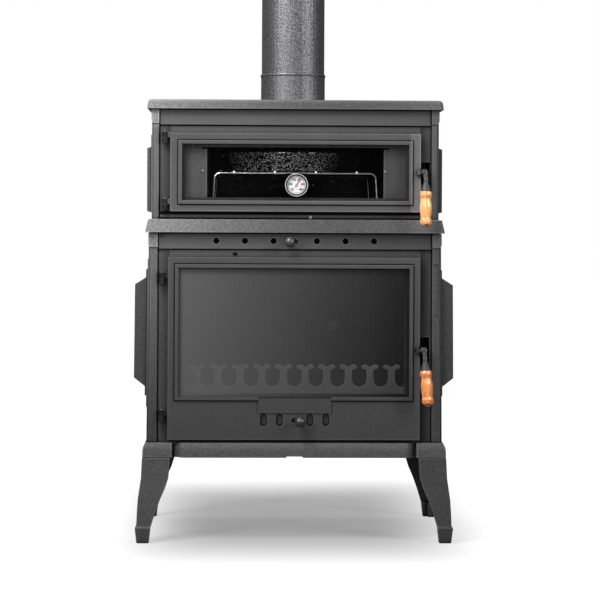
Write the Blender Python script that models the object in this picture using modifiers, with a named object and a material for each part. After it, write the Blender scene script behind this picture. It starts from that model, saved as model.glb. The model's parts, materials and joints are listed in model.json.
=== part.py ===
# Cast iron wood stove: a firebox with an oven above it, on four curved legs, with a flue pipe.
# Metres, +Z up, +X to the right of someone facing the stove, +Y from its front to its back.
# Under the stove empty, Y = 0 is the front face of both front frames and Z = 0 is the floor.

import math
from types import SimpleNamespace

import bmesh
import bpy
from mathutils import Matrix, Vector

# Clearances
SEAT = 0.0003
RUNNING = 0.0003

# Storeys, from the floor up
LEG_HEIGHT = 0.191
BASE_HEIGHT = 0.033
FIREBOX_HEIGHT = 0.473
MIDDLE_PLATE_HEIGHT = 0.030
OVEN_HEIGHT = 0.249
TOP_PLATE_HEIGHT = 0.021

# Body
FIREBOX_WIDTH = 0.660
OVEN_WIDTH = 0.648
BODY_DEPTH = 0.372
FIREBOX_COLUMN = 0.020
OVEN_COLUMN = 0.0165
COLUMN_PROUD = 0.006
COLUMN_DEPTH = 0.026
COLUMN_EDGE = 0.0015
COLUMN_BEAD = 0.0035
CAPITAL_HEIGHT = 0.033
CAPITAL_PROUD = 0.0025
CAPITAL_SIDE = 0.001
CAPITAL_SLOPE = 0.006
CAPITAL_EDGE = 0.002
SIDE_WALL = 0.008
SIDE_SET_BACK = 0.006
SIDE_PANEL_PROUD = 0.010
SIDE_PANEL_INSET = 0.045
SIDE_PANEL_MARGIN = 0.030
SIDE_PANEL_SLOPE = 0.006
SIDE_PANEL_STEP = 0.012
OVEN_PANEL_BOTTOM = 0.010
OVEN_PANEL_TOP = 0.052
OVEN_STEP_BOTTOM = 0.012
OVEN_STEP_TOP = 0.081
OVEN_STEP_PROUD = 0.0095
FRAME_THICKNESS = 0.010
FRAME_LAP = 0.004
FRIEZE_PROUD = 0.004
FIRE_FRIEZE_UP = 0.017
OVEN_FRIEZE_UP = 0.018
OVEN_SILL_HEIGHT = 0.011
BACK_THICKNESS = 0.010
BACK_SET_IN = 0.0024
BACK_FIELD_PROUD = 0.003
BACK_FIELD_MARGIN = 0.040
BACK_FIELD_SLOPE = 0.008
COLUMN_RECESS_HEIGHT = 0.120
COLUMN_RECESS_DROP = 0.070
COLUMN_RECESS_DEPTH = 0.002
COLUMN_RECESS_SIDE = 0.0055
COLUMN_GAP = 0.0015
FIREBOX_FLARE = 0.004
GROOVE_HEIGHT = 0.0018
GROOVE_DEPTH = 0.003

# Base and legs
BASE_OVERHANG = 0.0125
BASE_INSET = 0.0055
BASE_BLOCK = 0.067
BASE_SKIN = 0.012
BASE_RIM = 0.040
APRON_PROUD = 0.005
APRON_SET_BACK = 0.014
APRON_CURVE = 0.025
APRON_NOTCH = 0.036
APRON_NOTCH_HEIGHT = 0.003
LEG_WALL = 0.009
LEG_WIDTH = 0.0625
LEG_SPLAY = 0.012
LEG_CHAMFER = 0.002
FOOT_HEIGHT = 0.034
FOOT_WIDTH = 0.0275
FOOT_SPLAY = 0.0115
FOOT_LIP_WIDTH = 0.035
FOOT_LIP_SPLAY = 0.0152
FOOT_WALL_SHARE = 0.6

# Plates
MIDDLE_OVERHANG = 0.008
MIDDLE_FLARE = 0.0065
TOP_OVERHANG = 0.0105
TOP_BACK_OVERHANG = 0.008
TOP_FLARE = 0.003
PLATE_CORNER = 0.008
TOP_EDGE_ROUND = 0.007
PLATE_SKIN = 0.010
PLATE_RIM = 0.030
SMOKE_SLOT_LENGTH = 0.110
SMOKE_SLOT_WIDTH = 0.040
SMOKE_SLOT_PITCH = 0.140
SMOKE_SLOT_FROM_BACK = 0.070

# Flue
FLUE_DIAMETER = 0.150
FLUE_WALL = 0.0012
FLUE_LENGTH = 0.316
FLUE_FROM_BACK = 0.090
SOCKET_LENGTH = 0.062
BEAD_HEIGHT = 0.008
BEAD_PROUD = 0.0015
COLLAR_WALL = 0.005
COLLAR_FLANGE = 0.018
COLLAR_FLANGE_THICKNESS = 0.007
COLLAR_HEIGHT = 0.055

# Fire door
FIRE_DOOR_SIDE_MARGIN = 0.046
FIRE_DOOR_MIDDLE = -0.002
FIRE_DOOR_FLOOR_GAP = 0.007
FIRE_DOOR_TOP_MARGIN = 0.055
FIRE_WINDOW_SIDE = 0.0245
FIRE_WINDOW_TOP = 0.025
FIRE_WINDOW_BOTTOM = 0.0975
FIRE_MOUTH_SIDE = 0.022
FIRE_MOUTH_TOP = 0.014
FIRE_MOUTH_BOTTOM = 0.014
FIRE_HINGE_OFFSET = 0.014
FIRE_HINGE_UPPER = 0.0485
FIRE_HINGE_LOWER = 0.053
FIRE_LATCH_DROP = 0.2095
FIRE_SLOT_ABOVE = 0.030
FIRE_SLOT_BELOW = 0.0365
FIRE_GRIP_LEAN = 4.2

# Oven door
OVEN_DOOR_SIDE_MARGIN = 0.042
OVEN_DOOR_FLOOR_GAP = 0.018
OVEN_DOOR_TOP_MARGIN = 0.055
OVEN_WINDOW_SIDE = 0.027
OVEN_WINDOW_TOP = 0.025
OVEN_WINDOW_BOTTOM = 0.025
OVEN_HINGE_OFFSET = 0.012
OVEN_HINGE_UPPER = 0.0105
OVEN_HINGE_LOWER = 0.015
OVEN_LATCH_DROP = 0.0875
OVEN_SLOT_ABOVE = 0.0242
OVEN_SLOT_BELOW = 0.0255
OVEN_GRIP_LEAN = 0.0

# What both doors share
DOOR_GAP = 0.0045
DOOR_THICKNESS = 0.0115
BEAD_WIDTH = 0.009
DOOR_BEAD_PROUD = 0.004
DOOR_BEAD_ROUND = 0.0018
GLASS_LAP = 0.008
GLASS_THICKNESS = 0.004
GLASS_FROM_FACE = 0.004
RETAINER_THICKNESS = 0.002
RETAINER_WIDTH = 0.014
SEAL_INSET = 0.004
SEAL_WIDTH = 0.008
SEAL_CORNER = 0.006
KNUCKLE_RADIUS = 0.007
KNUCKLE_HEIGHT = 0.0130
KNUCKLE_EDGE = 0.001
HINGE_ARM_HALF = 0.005
HINGE_ARM_LAP = 0.006
HINGE_ARM_SET_IN = 0.0015
HINGE_FORWARD = 0.010
HINGE_PIN_RADIUS = 0.003
PIN_HEAD_RADIUS = 0.005
PIN_HEAD_HEIGHT = 0.002

# Latch handles
PIVOT_FORWARD = 0.022
LUG_WIDTH = 0.009
LUG_HEIGHT = 0.0125
LUG_PROUD = 0.0052
LUG_ROUND = 0.0025
LUG_FLOOR = 0.001
LEVER_OFFSET = 0.0086
LEVER_THICKNESS = 0.008
LEVER_EYE_RADIUS = 0.0085
LEVER_BOSS = 0.0025
PIN_CAP = 0.002
TAIL_HEIGHT = 0.009
HOOK_CLEARANCE = 0.0045
HOOK_THICKNESS = 0.006
HOOK_TIP_GAP = 0.0008
HOOK_FILLET = 0.004
SLOT_WIDTH = 0.0235
SLOT_START = -0.001
NECK_DROP = 0.0225
NECK_HALF = 0.0045
NECK_BEND = 0.0165
FERRULE_BAND = 0.003
ARM_REACH = 0.030
FERRULE_LENGTH = 0.019
FERRULE_TOP_RADIUS = 0.0055
FERRULE_BOTTOM_RADIUS = 0.0112
GRIP_LENGTH = 0.077
GRIP_RADIUS = 0.0137
GRIP_SCREW_RADIUS = 0.003
GRIP_SCREW_GRASP = 0.014
GRIP_SCREW_HEAD_RADIUS = 0.006
GRIP_SCREW_HEAD_HEIGHT = 0.004

# Air controls
PRIMARY_SLOT_PITCH = 0.036
PRIMARY_CENTRE_PITCH = 0.069
PRIMARY_SLOT_WIDTH = 0.0165
PRIMARY_SLOT_HEIGHT = 0.029
PRIMARY_TRAVEL = 0.017
PRIMARY_SLOT_UP = 0.045
PRIMARY_KNOB_AT = 0.012
PRIMARY_KNOB_REACH_LEFT = 0.0205
PRIMARY_KNOB_REACH_RIGHT = 0.005
SECONDARY_HOLES = 6
SECONDARY_HOLE_PITCH = 0.0645
SECONDARY_CENTRE_PITCH = 0.098
SECONDARY_HOLE_RADIUS = 0.007
SECONDARY_DROP = 0.0184
SECONDARY_KNOB_AT = -0.013
SECONDARY_KNOB_REACH_LEFT = 0.008
SECONDARY_KNOB_REACH_RIGHT = 0.0206
KNOB_RADIUS = 0.012
KNOB_DROP = 0.002
KNOB_NECK = 0.009
KNOB_COLLAR = 0.0015
KNOB_SLOT_HEIGHT = 0.0108
STUD_RADIUS = 0.003
SLIDE_THICKNESS = 0.0022
SLIDE_HEIGHT = 0.023
SLIDE_GUIDE_HEIGHT = 0.0034
SLIDE_GUIDE_DEPTH = 0.006
PRIMARY_SLIDE_HEIGHT = 0.036
PLAQUE_WIDTH = 0.164
PLAQUE_HEIGHT = 0.036
PLAQUE_PROUD = 0.002
PLAQUE_DROP = 0.001

# Side shields
SHIELD_BOTTOM = 0.100
SHIELD_TOP = 0.388
SHIELD_FLANGE_THICKNESS = 0.0037
SHIELD_BOX_PROUD = 0.025
SHIELD_WALL = 0.003
SHIELD_FLANGE_BOTTOM = 0.021
SHIELD_FLANGE_TOP = 0.018
SHIELD_SLOPE_BOTTOM = 0.020
SHIELD_SLOPE_TOP = 0.016
SHIELD_INSET = 0.060
SHIELD_SCREW_RADIUS = 0.004
SHIELD_SCREW_HEAD = 0.0025
SHIELD_SCREW_LOW = 0.081
SHIELD_SCREW_HIGH = 0.212

# Inside the firebox
LINER_THICKNESS = 0.008
LINER_SIDE_GAP = 0.056
LINER_BACK_GAP = 0.012
LINER_TOP_GAP = 0.043
LINER_FRONT = 0.040
LEDGE_UP = 0.0677
LEDGE_DEPTH = 0.010
RIB_PITCH = 0.022
RIB_WIDTH = 0.010
RIB_DEPTH = 0.005
RIB_TAPER = 0.0015
GRATE_THICKNESS = 0.012
GRATE_FRONT = 0.028
GRATE_SLOT_WIDTH = 0.014
GRATE_BAR = 0.0245
ASH_PAN_SIDE_GAP = 0.020
ASH_PAN_BACK_GAP = 0.0286
ASH_PAN_FRONT = 0.026
ASH_PAN_HEIGHT = 0.046
ASH_PAN_WALL = 0.002
ASH_LIP_HALF = 0.050
ASH_LIP_DROP = 0.003
ASH_LIP_THICKNESS = 0.003
GUARD_SIDE_GAP = 0.0025
GUARD_END = 0.0075
GUARD_SET_IN = 0.002
GUARD_THICKNESS = 0.008
GUARD_HEIGHT = 0.094
GUARD_BAND = 0.0425
GUARD_UPRIGHTS = 10
GUARD_GAP_WIDTH = 0.0335
GUARD_HEAD_WIDTH = 0.040
GUARD_HEAD_HEIGHT = 0.0105
GUARD_HEAD_ROUND = 0.004

# Inside the oven
OVEN_INNER_WIDTH = 0.400
OVEN_BACK_GAP = 0.0313
OVEN_FLOOR_UP = 0.030
OVEN_CEILING_DROP = 0.071
OVEN_SHEET = 0.003
OVEN_FLANGE = 0.012
RACK_SIDE_GAP = 0.017
RACK_BACK_GAP = 0.007
RACK_HEIGHT = 0.075
RACK_WIRE_RADIUS = 0.002
RACK_CORNER = 0.012
RACK_SPLAY = 0.004
RACK_BARS = 4
RACK_BAR_PITCH = 0.093
RACK_FROM_FRONT = 0.012
PAN_TOP_RADIUS = 0.134
PAN_BOTTOM_RADIUS = 0.1155
PAN_HEIGHT = 0.043
PAN_WALL = 0.002
PAN_RIM = 0.003
PAN_OFFSET = -0.022

# Thermometer
THERMOMETER_RADIUS = 0.027
THERMOMETER_DEPTH = 0.010
THERMOMETER_RIM = 0.0025
THERMOMETER_BACK = 0.002
THERMOMETER_ACROSS = 0.002
THERMOMETER_DROP = 0.116
THERMOMETER_STEM_RADIUS = 0.0035
THERMOMETER_STEM_END = 0.004
THERMOMETER_ROUND = 0.0013
DIAL_THICKNESS = 0.001
NEEDLE_LENGTH = 0.017
NEEDLE_TAIL = 0.006
NEEDLE_HUB_RADIUS = 0.0024
NEEDLE_WIDTH = 0.0014
NEEDLE_THICKNESS = 0.0006
NEEDLE_REST_ANGLE = 30.0
NEEDLE_CLEARANCE = 0.001
NEEDLE_POINT = 0.0002
SPINDLE_RADIUS = 0.0008
SPINDLE_END = 0.0006

# How finely round shapes are divided
FINE = 48
ROUND = 24
COARSE = 16
WIRE_SIDES = 8
EDGE_STEPS = 2
SHARP_ANGLE = 60

# Heights that follow from the storeys
base_bottom = LEG_HEIGHT
base_top = base_bottom + BASE_HEIGHT
firebox_top = base_top + FIREBOX_HEIGHT
middle_top = firebox_top + MIDDLE_PLATE_HEIGHT
oven_top = middle_top + OVEN_HEIGHT
plate_top = oven_top + TOP_PLATE_HEIGHT
frame_back = FRAME_THICKNESS + SEAT
back_front = BODY_DEPTH - BACK_SET_IN - BACK_THICKNESS
liner_half = FIREBOX_WIDTH / 2 - SIDE_SET_BACK - SIDE_WALL - LINER_SIDE_GAP - LINER_THICKNESS
base_half = FIREBOX_WIDTH / 2 + BASE_OVERHANG
base_front = -COLUMN_PROUD - BASE_OVERHANG
base_back = BODY_DEPTH + BASE_OVERHANG
pivot_y = -PIVOT_FORWARD
grip_y = pivot_y - ARM_REACH

# The stove's middle from front to back, between the front of the grips and the rear feet
depth_centre = (grip_y - GRIP_RADIUS + base_back + FOOT_LIP_SPLAY) / 2

FINISHES = {
    "cast iron": ((0.085, 0.083, 0.085), 0.62, 0.25),
    "plate iron": ((0.150, 0.148, 0.150), 0.55, 0.30),
    "flue steel": ((0.200, 0.200, 0.205), 0.50, 0.60),
    "sheet steel": ((0.060, 0.060, 0.062), 0.55, 0.50),
    "chrome wire": ((0.780, 0.780, 0.790), 0.20, 1.00),
    "bright steel": ((0.520, 0.520, 0.530), 0.35, 1.00),
    "glass": ((0.030, 0.030, 0.032), 0.05, 0.00),
    "rope": ((0.180, 0.170, 0.155), 0.95, 0.00),
    "fire wood grip": ((0.640, 0.180, 0.060), 0.40, 0.00),
    "oven wood grip": ((0.760, 0.330, 0.110), 0.40, 0.00),
    "enamel": ((0.015, 0.015, 0.017), 0.18, 0.00),
    "dial": ((0.750, 0.750, 0.750), 0.50, 0.00),
    "needle red": ((0.650, 0.050, 0.030), 0.45, 0.00),
}

for old in list(bpy.data.objects):
    bpy.data.objects.remove(old)

parts = bpy.data.collections.new("wood_stove")
cutters = bpy.data.collections.new("cutters")
bpy.context.scene.collection.children.link(parts)
bpy.context.scene.collection.children.link(cutters)
cutters.hide_render = True

# Empties that carry the moving groups, each on its joint's axis
axis_empties = {}
axis_places = {}


def add_axis(body, place, carrier=None):
    empty = bpy.data.objects.new(body + "_axis", None)
    empty.empty_display_size = 0.03
    parts.objects.link(empty)
    place = Vector(place)
    if carrier is None:
        empty.location = place - Vector((0, depth_centre, 0))
    else:
        empty.parent = axis_empties[carrier]
        empty.location = place - axis_places[carrier]
    axis_empties[body] = empty
    axis_places[body] = place


def attach(piece, body):
    piece.parent = axis_empties[body]
    piece.location = piece.location - axis_places[body]
    for modifier in piece.modifiers:
        if modifier.type == "BOOLEAN":
            attach(modifier.object, body)


def finish(piece, look, body="stove"):
    colour, roughness, metallic = FINISHES[look]
    made = bpy.data.materials.new(piece.name)
    made.use_nodes = True
    shader = made.node_tree.nodes["Principled BSDF"]
    shader.inputs["Base Color"].default_value = (*colour, 1.0)
    shader.inputs["Roughness"].default_value = roughness
    shader.inputs["Metallic"].default_value = metallic
    piece.data.materials.clear()
    piece.data.materials.append(made)
    attach(piece, body)


def combine(piece, operation, others):
    for other in others:
        modifier = piece.modifiers.new(other.name, "BOOLEAN")
        modifier.operation = operation
        modifier.object = other
        parts.objects.unlink(other)
        cutters.objects.link(other)
        other.hide_render = True
        other.display_type = "WIRE"


def join(piece, *others):
    combine(piece, "UNION", others)


def cut(piece, *others):
    combine(piece, "DIFFERENCE", others)


def add_object(name, data, location=(0, 0, 0)):
    made = bpy.data.objects.new(name, data)
    made.location = location
    parts.objects.link(made)
    return made


def from_bmesh(name, shape, location):
    mesh = bpy.data.meshes.new(name)
    shape.to_mesh(mesh)
    shape.free()
    return add_object(name, mesh, location)


def cuboid(name, low, high):
    low = Vector(low)
    high = Vector(high)
    shape = bmesh.new()
    bmesh.ops.create_cube(shape, size=1.0)
    bmesh.ops.scale(shape, vec=high - low, verts=shape.verts)
    return from_bmesh(name, shape, (low + high) / 2)


def bar(name, start, end, radius, sides=ROUND):
    start = Vector(start)
    end = Vector(end)
    along = end - start
    turn = Vector((0, 0, 1)).rotation_difference(along).to_matrix().to_4x4()
    shape = bmesh.new()
    bmesh.ops.create_cone(
        shape,
        cap_ends=True,
        segments=sides,
        radius1=radius,
        radius2=radius,
        depth=along.length,
        matrix=turn,
    )
    made = from_bmesh(name, shape, (start + end) / 2)
    made.data.shade_smooth()
    made.data.set_sharp_from_angle(angle=math.radians(40))
    return made


# A profile of (radius, height) points, from the top down the outer side, turned about Z.
# Facing the front, the height runs towards the viewer instead.
def turned(name, profile, location, steps=ROUND, closed=False, facing="up"):
    mesh = bpy.data.meshes.new(name)
    edges = [(i, i + 1) for i in range(len(profile) - 1)]
    if closed:
        edges.append((len(profile) - 1, 0))
    mesh.from_pydata([(radius, 0.0, height) for radius, height in profile], edges, [])
    made = add_object(name, mesh, location)
    if facing == "front":
        made.rotation_euler.x = math.radians(90)
    screw = made.modifiers.new("Turn", "SCREW")
    screw.steps = steps
    screw.render_steps = steps
    screw.use_merge_vertices = True
    screw.merge_threshold = 0.00001
    screw.use_smooth_shade = True
    return made


def as_mesh(curve_object):
    bpy.context.view_layer.update()
    graph = bpy.context.evaluated_depsgraph_get()
    mesh = bpy.data.meshes.new_from_object(curve_object.evaluated_get(graph))
    shape = bmesh.new()
    shape.from_mesh(mesh)
    bmesh.ops.remove_doubles(shape, verts=shape.verts, dist=0.00001)
    bmesh.ops.recalc_face_normals(shape, faces=shape.faces)
    shape.to_mesh(mesh)
    shape.free()
    name = curve_object.name
    place = curve_object.matrix_world.copy()
    bpy.data.objects.remove(curve_object)
    made = add_object(name, mesh)
    made.matrix_world = place
    return made


# A flat plate whose first outline is its edge and whose other outlines are holes.
# Normal to Z its outlines are (x, y), normal to Y they are (x, z) and normal to X (y, z).
def plate(name, outlines, low, high, normal):
    curve = bpy.data.curves.new(name, "CURVE")
    curve.dimensions = "2D"
    curve.fill_mode = "BOTH"
    curve.extrude = (high - low) / 2
    for outline in outlines:
        spline = curve.splines.new("POLY")
        spline.points.add(len(outline) - 1)
        for point, (across, up) in zip(spline.points, outline):
            point.co = (across, up, 0.0, 1.0)
        spline.use_cyclic_u = True
    made = add_object(name, curve)
    middle = (low + high) / 2
    if normal == "Z":
        made.location.z = middle
    if normal == "Y":
        made.rotation_euler.x = math.radians(90)
        made.location.y = middle
    if normal == "X":
        made.rotation_euler = (math.radians(90), 0, math.radians(90))
        made.location.x = middle
    return as_mesh(made)


def wire(name, points, radius):
    curve = bpy.data.curves.new(name, "CURVE")
    curve.dimensions = "3D"
    curve.bevel_depth = radius
    curve.bevel_resolution = 2
    curve.use_fill_caps = True
    spline = curve.splines.new("POLY")
    spline.points.add(len(points) - 1)
    for point, place in zip(spline.points, points):
        point.co = (*place, 1.0)
    return as_mesh(add_object(name, curve))


def rectangle(left, right, bottom, top):
    return [(left, bottom), (right, bottom), (right, top), (left, top)]


def circle(across, up, radius, sides=COARSE):
    turns = [2 * math.pi * (i + 0.5) / sides for i in range(sides)]
    return [(across + radius * math.cos(t), up + radius * math.sin(t)) for t in turns]


def arc(across, up, radius, first, last, steps):
    turns = [math.radians(first + (last - first) * i / steps) for i in range(steps + 1)]
    return [(across + radius * math.cos(t), up + radius * math.sin(t)) for t in turns]


# A slot with half-round ends, lying or standing
def slot(left, right, bottom, top, steps=6):
    radius = min(right - left, top - bottom) / 2
    if right - left > top - bottom:
        middle = (bottom + top) / 2
        return arc(right - radius, middle, radius, -90, 90, steps) + arc(
            left + radius, middle, radius, 90, 270, steps
        )
    middle = (left + right) / 2
    return arc(middle, top - radius, radius, 0, 180, steps) + arc(
        middle, bottom + radius, radius, 180, 360, steps
    )


# A closed skin through rings of equally many corners
def loft(shape, rings):
    for first, second in zip(rings, rings[1:]):
        for i in range(len(first)):
            j = (i + 1) % len(first)
            shape.faces.new((first[i], first[j], second[j], second[i]))
    shape.faces.new(rings[0])
    shape.faces.new(rings[-1])
    bmesh.ops.recalc_face_normals(shape, faces=shape.faces)


# A slab that is smaller at the top by the flare, with rounded corners and a rounded top edge
def flared_slab(name, low, high, flare, corner, edge_round):
    low = Vector(low)
    high = Vector(high)
    size = high - low
    shape = bmesh.new()
    bmesh.ops.create_cube(shape, size=1.0)
    bmesh.ops.scale(shape, vec=size, verts=shape.verts)
    upper = [v for v in shape.verts if v.co.z > 0]
    shrink = Vector((1 - 2 * flare / size.x, 1 - 2 * flare / size.y, 1))
    bmesh.ops.scale(shape, vec=shrink, verts=upper)
    upright = [e for e in shape.edges if abs(e.verts[0].co.z - e.verts[1].co.z) > size.z / 2]
    bmesh.ops.bevel(
        shape, geom=upright, offset=corner, segments=4, profile=0.5, affect="EDGES"
    )
    if edge_round:
        top = size.z / 2 - 0.00001
        rim = [e for e in shape.edges if min(v.co.z for v in e.verts) > top]
        bmesh.ops.bevel(
            shape, geom=rim, offset=edge_round, segments=3, profile=0.5, affect="EDGES"
        )
    return from_bmesh(name, shape, (low + high) / 2)


# Shares of the base plate's height and of its inset at the top
BASE_MOULDING = (
    (0.00, 0.00),
    (0.50, 0.08),
    (0.70, 0.30),
    (0.84, 0.72),
    (0.93, 1.00),
    (1.00, 1.00),
)


def build_base():
    half = base_half
    inner = half - BASE_BLOCK

    def outline(inset):
        front = base_front + inset
        apron = base_front - APRON_PROUD + inset
        set_back = base_front + APRON_SET_BACK + inset
        right = [(half - inset, front), (inner, front), (inner, set_back)]
        for step in range(1, 9):
            blend = (1 - math.cos(math.pi * step / 8)) / 2
            right.append((inner - APRON_CURVE * step / 8, set_back + (apron - set_back) * blend))
        left = [(-x, y) for x, y in reversed(right)]
        back = [(-half + inset, base_back - inset), (half - inset, base_back - inset)]
        return right + left + back

    shape = bmesh.new()
    rings = []
    for height, inset in BASE_MOULDING:
        z = base_bottom + BASE_HEIGHT * height
        rings.append([shape.verts.new((x, y, z)) for x, y in outline(BASE_INSET * inset)])
    loft(shape, rings)
    base = from_bmesh("base_plate", shape, (0, 0, 0))
    rim = BASE_RIM
    hollow = cuboid(
        "base_hollow",
        (-half + rim, base_front + rim, base_bottom - rim),
        (half - rim, base_back - rim, base_top - BASE_SKIN),
    )
    notch = cuboid(
        "apron_notch",
        (-APRON_NOTCH / 2, base_front - rim, base_bottom - rim),
        (APRON_NOTCH / 2, base_front + rim / 2, base_bottom + APRON_NOTCH_HEIGHT),
    )
    cut(base, hollow, notch)
    finish(base, "cast iron")


# Shares of the leg's height, of its splay past the base, and of its width at the top
LEG_SHAPE = (
    (1.00, 0.04, 1.00),
    (0.88, 0.12, 1.00),
    (0.76, 0.21, 0.99),
    (0.64, 0.46, 0.92),
    (0.51, 0.75, 0.80),
    (0.36, 0.90, 0.66),
    (0.20, 1.00, 0.53),
)


def build_leg(name, side, end):
    corner_x = base_half
    corner_y = base_front if end < 0 else base_back
    top = LEG_HEIGHT - SEAT
    sections = []
    for height, splay, width in LEG_SHAPE:
        sections.append((top * height, LEG_SPLAY * splay, LEG_WIDTH * width, LEG_WALL))
    lip_wall = FOOT_LIP_WIDTH * FOOT_WALL_SHARE
    sections.append((FOOT_HEIGHT, FOOT_LIP_SPLAY, FOOT_LIP_WIDTH, lip_wall))
    sections.append((0, FOOT_SPLAY, FOOT_WIDTH, FOOT_WIDTH * FOOT_WALL_SHARE))
    shape = bmesh.new()
    rings = []
    for height, splay, width, wall in sections:
        chamfer = LEG_CHAMFER
        out_x = corner_x + splay
        out_y = abs(corner_y - BODY_DEPTH / 2) + splay
        section = (
            (out_x - chamfer, out_y),
            (out_x - width, out_y),
            (out_x - width, out_y - wall),
            (out_x - wall, out_y - wall),
            (out_x - wall, out_y - width),
            (out_x, out_y - width),
            (out_x, out_y - chamfer),
        )
        rings.append(
            [shape.verts.new((side * x, BODY_DEPTH / 2 + end * y, height)) for x, y in section]
        )
    loft(shape, rings)
    finish(from_bmesh(name, shape, (0, 0, 0)), "cast iron")


# How far the firebox's sides lean out at a height
def flare_at(height):
    return FIREBOX_FLARE * (firebox_top - height) / FIREBOX_HEIGHT


def lean_out(piece, side, past):
    bpy.context.view_layer.update()
    place = piece.matrix_world
    back = place.inverted()
    for corner in piece.data.vertices:
        at = place @ corner.co
        if side * at.x > past:
            at.x += side * flare_at(at.z)
            corner.co = back @ at


# The side castings carry the front and rear corner columns and the wall between them
def build_side(name, side, width, column, bottom, top, panels):
    outer = width / 2
    inner = outer - column
    wall_out = outer - SIDE_SET_BACK
    wall_in = wall_out - SIDE_WALL
    lip = min(inner - FRAME_LAP, wall_in - FRAME_LAP)
    lip_back = frame_back + SIDE_WALL
    rear_lip = back_front - SEAT
    front = [
        (lip, frame_back),
        (inner, frame_back),
        (inner, -COLUMN_PROUD + COLUMN_EDGE),
        (inner + COLUMN_EDGE, -COLUMN_PROUD),
        (outer - COLUMN_BEAD - COLUMN_EDGE, -COLUMN_PROUD),
        (outer - COLUMN_BEAD, -COLUMN_PROUD + COLUMN_BEAD),
        (outer - COLUMN_EDGE, -COLUMN_PROUD + COLUMN_BEAD),
        (outer, -COLUMN_PROUD + COLUMN_BEAD + COLUMN_EDGE),
        (outer, COLUMN_DEPTH - SIDE_SET_BACK),
        (wall_out, COLUMN_DEPTH),
    ]
    back = [
        (wall_out, BODY_DEPTH - COLUMN_DEPTH),
        (outer, BODY_DEPTH - COLUMN_DEPTH + SIDE_SET_BACK),
        (outer, BODY_DEPTH - COLUMN_EDGE),
        (outer - COLUMN_EDGE, BODY_DEPTH),
        (inner, BODY_DEPTH),
        (inner, rear_lip),
        (lip, rear_lip),
        (lip, rear_lip - SIDE_WALL),
        (wall_in, rear_lip - SIDE_WALL),
        (wall_in, lip_back),
        (lip, lip_back),
    ]
    outline = [(side * x, y) for x, y in front + back]
    flared = top < middle_top
    past = inner + COLUMN_EDGE * 2
    casting = plate(name, [outline], bottom + SEAT, top - SEAT, "Z")
    if flared:
        lean_out(casting, side, past)
    low = top - CAPITAL_HEIGHT
    high = top - SEAT
    proud = -COLUMN_PROUD - CAPITAL_PROUD
    block = [
        (inner, low),
        (outer - COLUMN_BEAD, low),
        (outer + CAPITAL_SIDE, low + CAPITAL_SLOPE),
        (outer + CAPITAL_SIDE, high - CAPITAL_EDGE),
        (outer + CAPITAL_SIDE - CAPITAL_EDGE, high),
        (inner, high),
    ]
    capital = plate(
        name + "_capital",
        [[(side * x, z) for x, z in block]],
        proud,
        COLUMN_DEPTH - SIDE_SET_BACK - CAPITAL_EDGE,
        "Y",
    )
    if flared:
        lean_out(capital, side, past)
    join(casting, capital)
    slope = SIDE_PANEL_SLOPE
    for number, (panel_low, panel_high, panel_proud) in enumerate(panels):
        face = wall_out + panel_proud
        root = wall_out - SIDE_WALL / 2
        edge = [
            (root, panel_low),
            (wall_out, panel_low),
            (face, panel_low + slope),
            (face, panel_high - slope),
            (wall_out, panel_high),
            (root, panel_high),
        ]
        inset = SIDE_PANEL_INSET + number * SIDE_PANEL_STEP
        panel = plate(
            f"{name}_panel_{number}",
            [[(side * x, z) for x, z in edge]],
            inset,
            BODY_DEPTH - inset,
            "Y",
        )
        if flared:
            lean_out(panel, side, past)
        join(casting, panel)
    return casting


def build_sides():
    shield_face = FIREBOX_WIDTH / 2 - SIDE_SET_BACK + SIDE_PANEL_PROUD
    for side, hand in ((-1, "left"), (1, "right")):
        low = base_top + SHIELD_BOTTOM - SIDE_PANEL_MARGIN
        high = base_top + SHIELD_TOP + SIDE_PANEL_MARGIN
        lower = build_side(
            f"firebox_side_{hand}",
            side,
            FIREBOX_WIDTH,
            FIREBOX_COLUMN,
            base_top,
            firebox_top,
            [(low, high, SIDE_PANEL_PROUD)],
        )
        if hand == "right":
            recess_top = firebox_top - COLUMN_RECESS_DROP
            recess_bottom = recess_top - COLUMN_RECESS_HEIGHT
            half = FIREBOX_WIDTH / 2
            left = half - FIREBOX_COLUMN - COLUMN_BEAD
            depth = COLUMN_RECESS_DEPTH
            recess = cuboid(
                "column_recess",
                (left, -COLUMN_PROUD - depth, recess_bottom),
                (half - COLUMN_RECESS_SIDE, -COLUMN_PROUD + depth, recess_top),
            )
            cut(lower, recess)
        finish(lower, "cast iron")
        upper = build_side(
            f"oven_side_{hand}",
            side,
            OVEN_WIDTH,
            OVEN_COLUMN,
            middle_top,
            oven_top,
            [
                (middle_top + OVEN_PANEL_BOTTOM, oven_top - OVEN_PANEL_TOP, SIDE_PANEL_PROUD),
                (
                    middle_top + OVEN_STEP_BOTTOM,
                    oven_top - OVEN_STEP_TOP,
                    SIDE_PANEL_PROUD + OVEN_STEP_PROUD,
                ),
            ],
        )
        finish(upper, "cast iron")
        build_shield(hand, side, shield_face)


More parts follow.
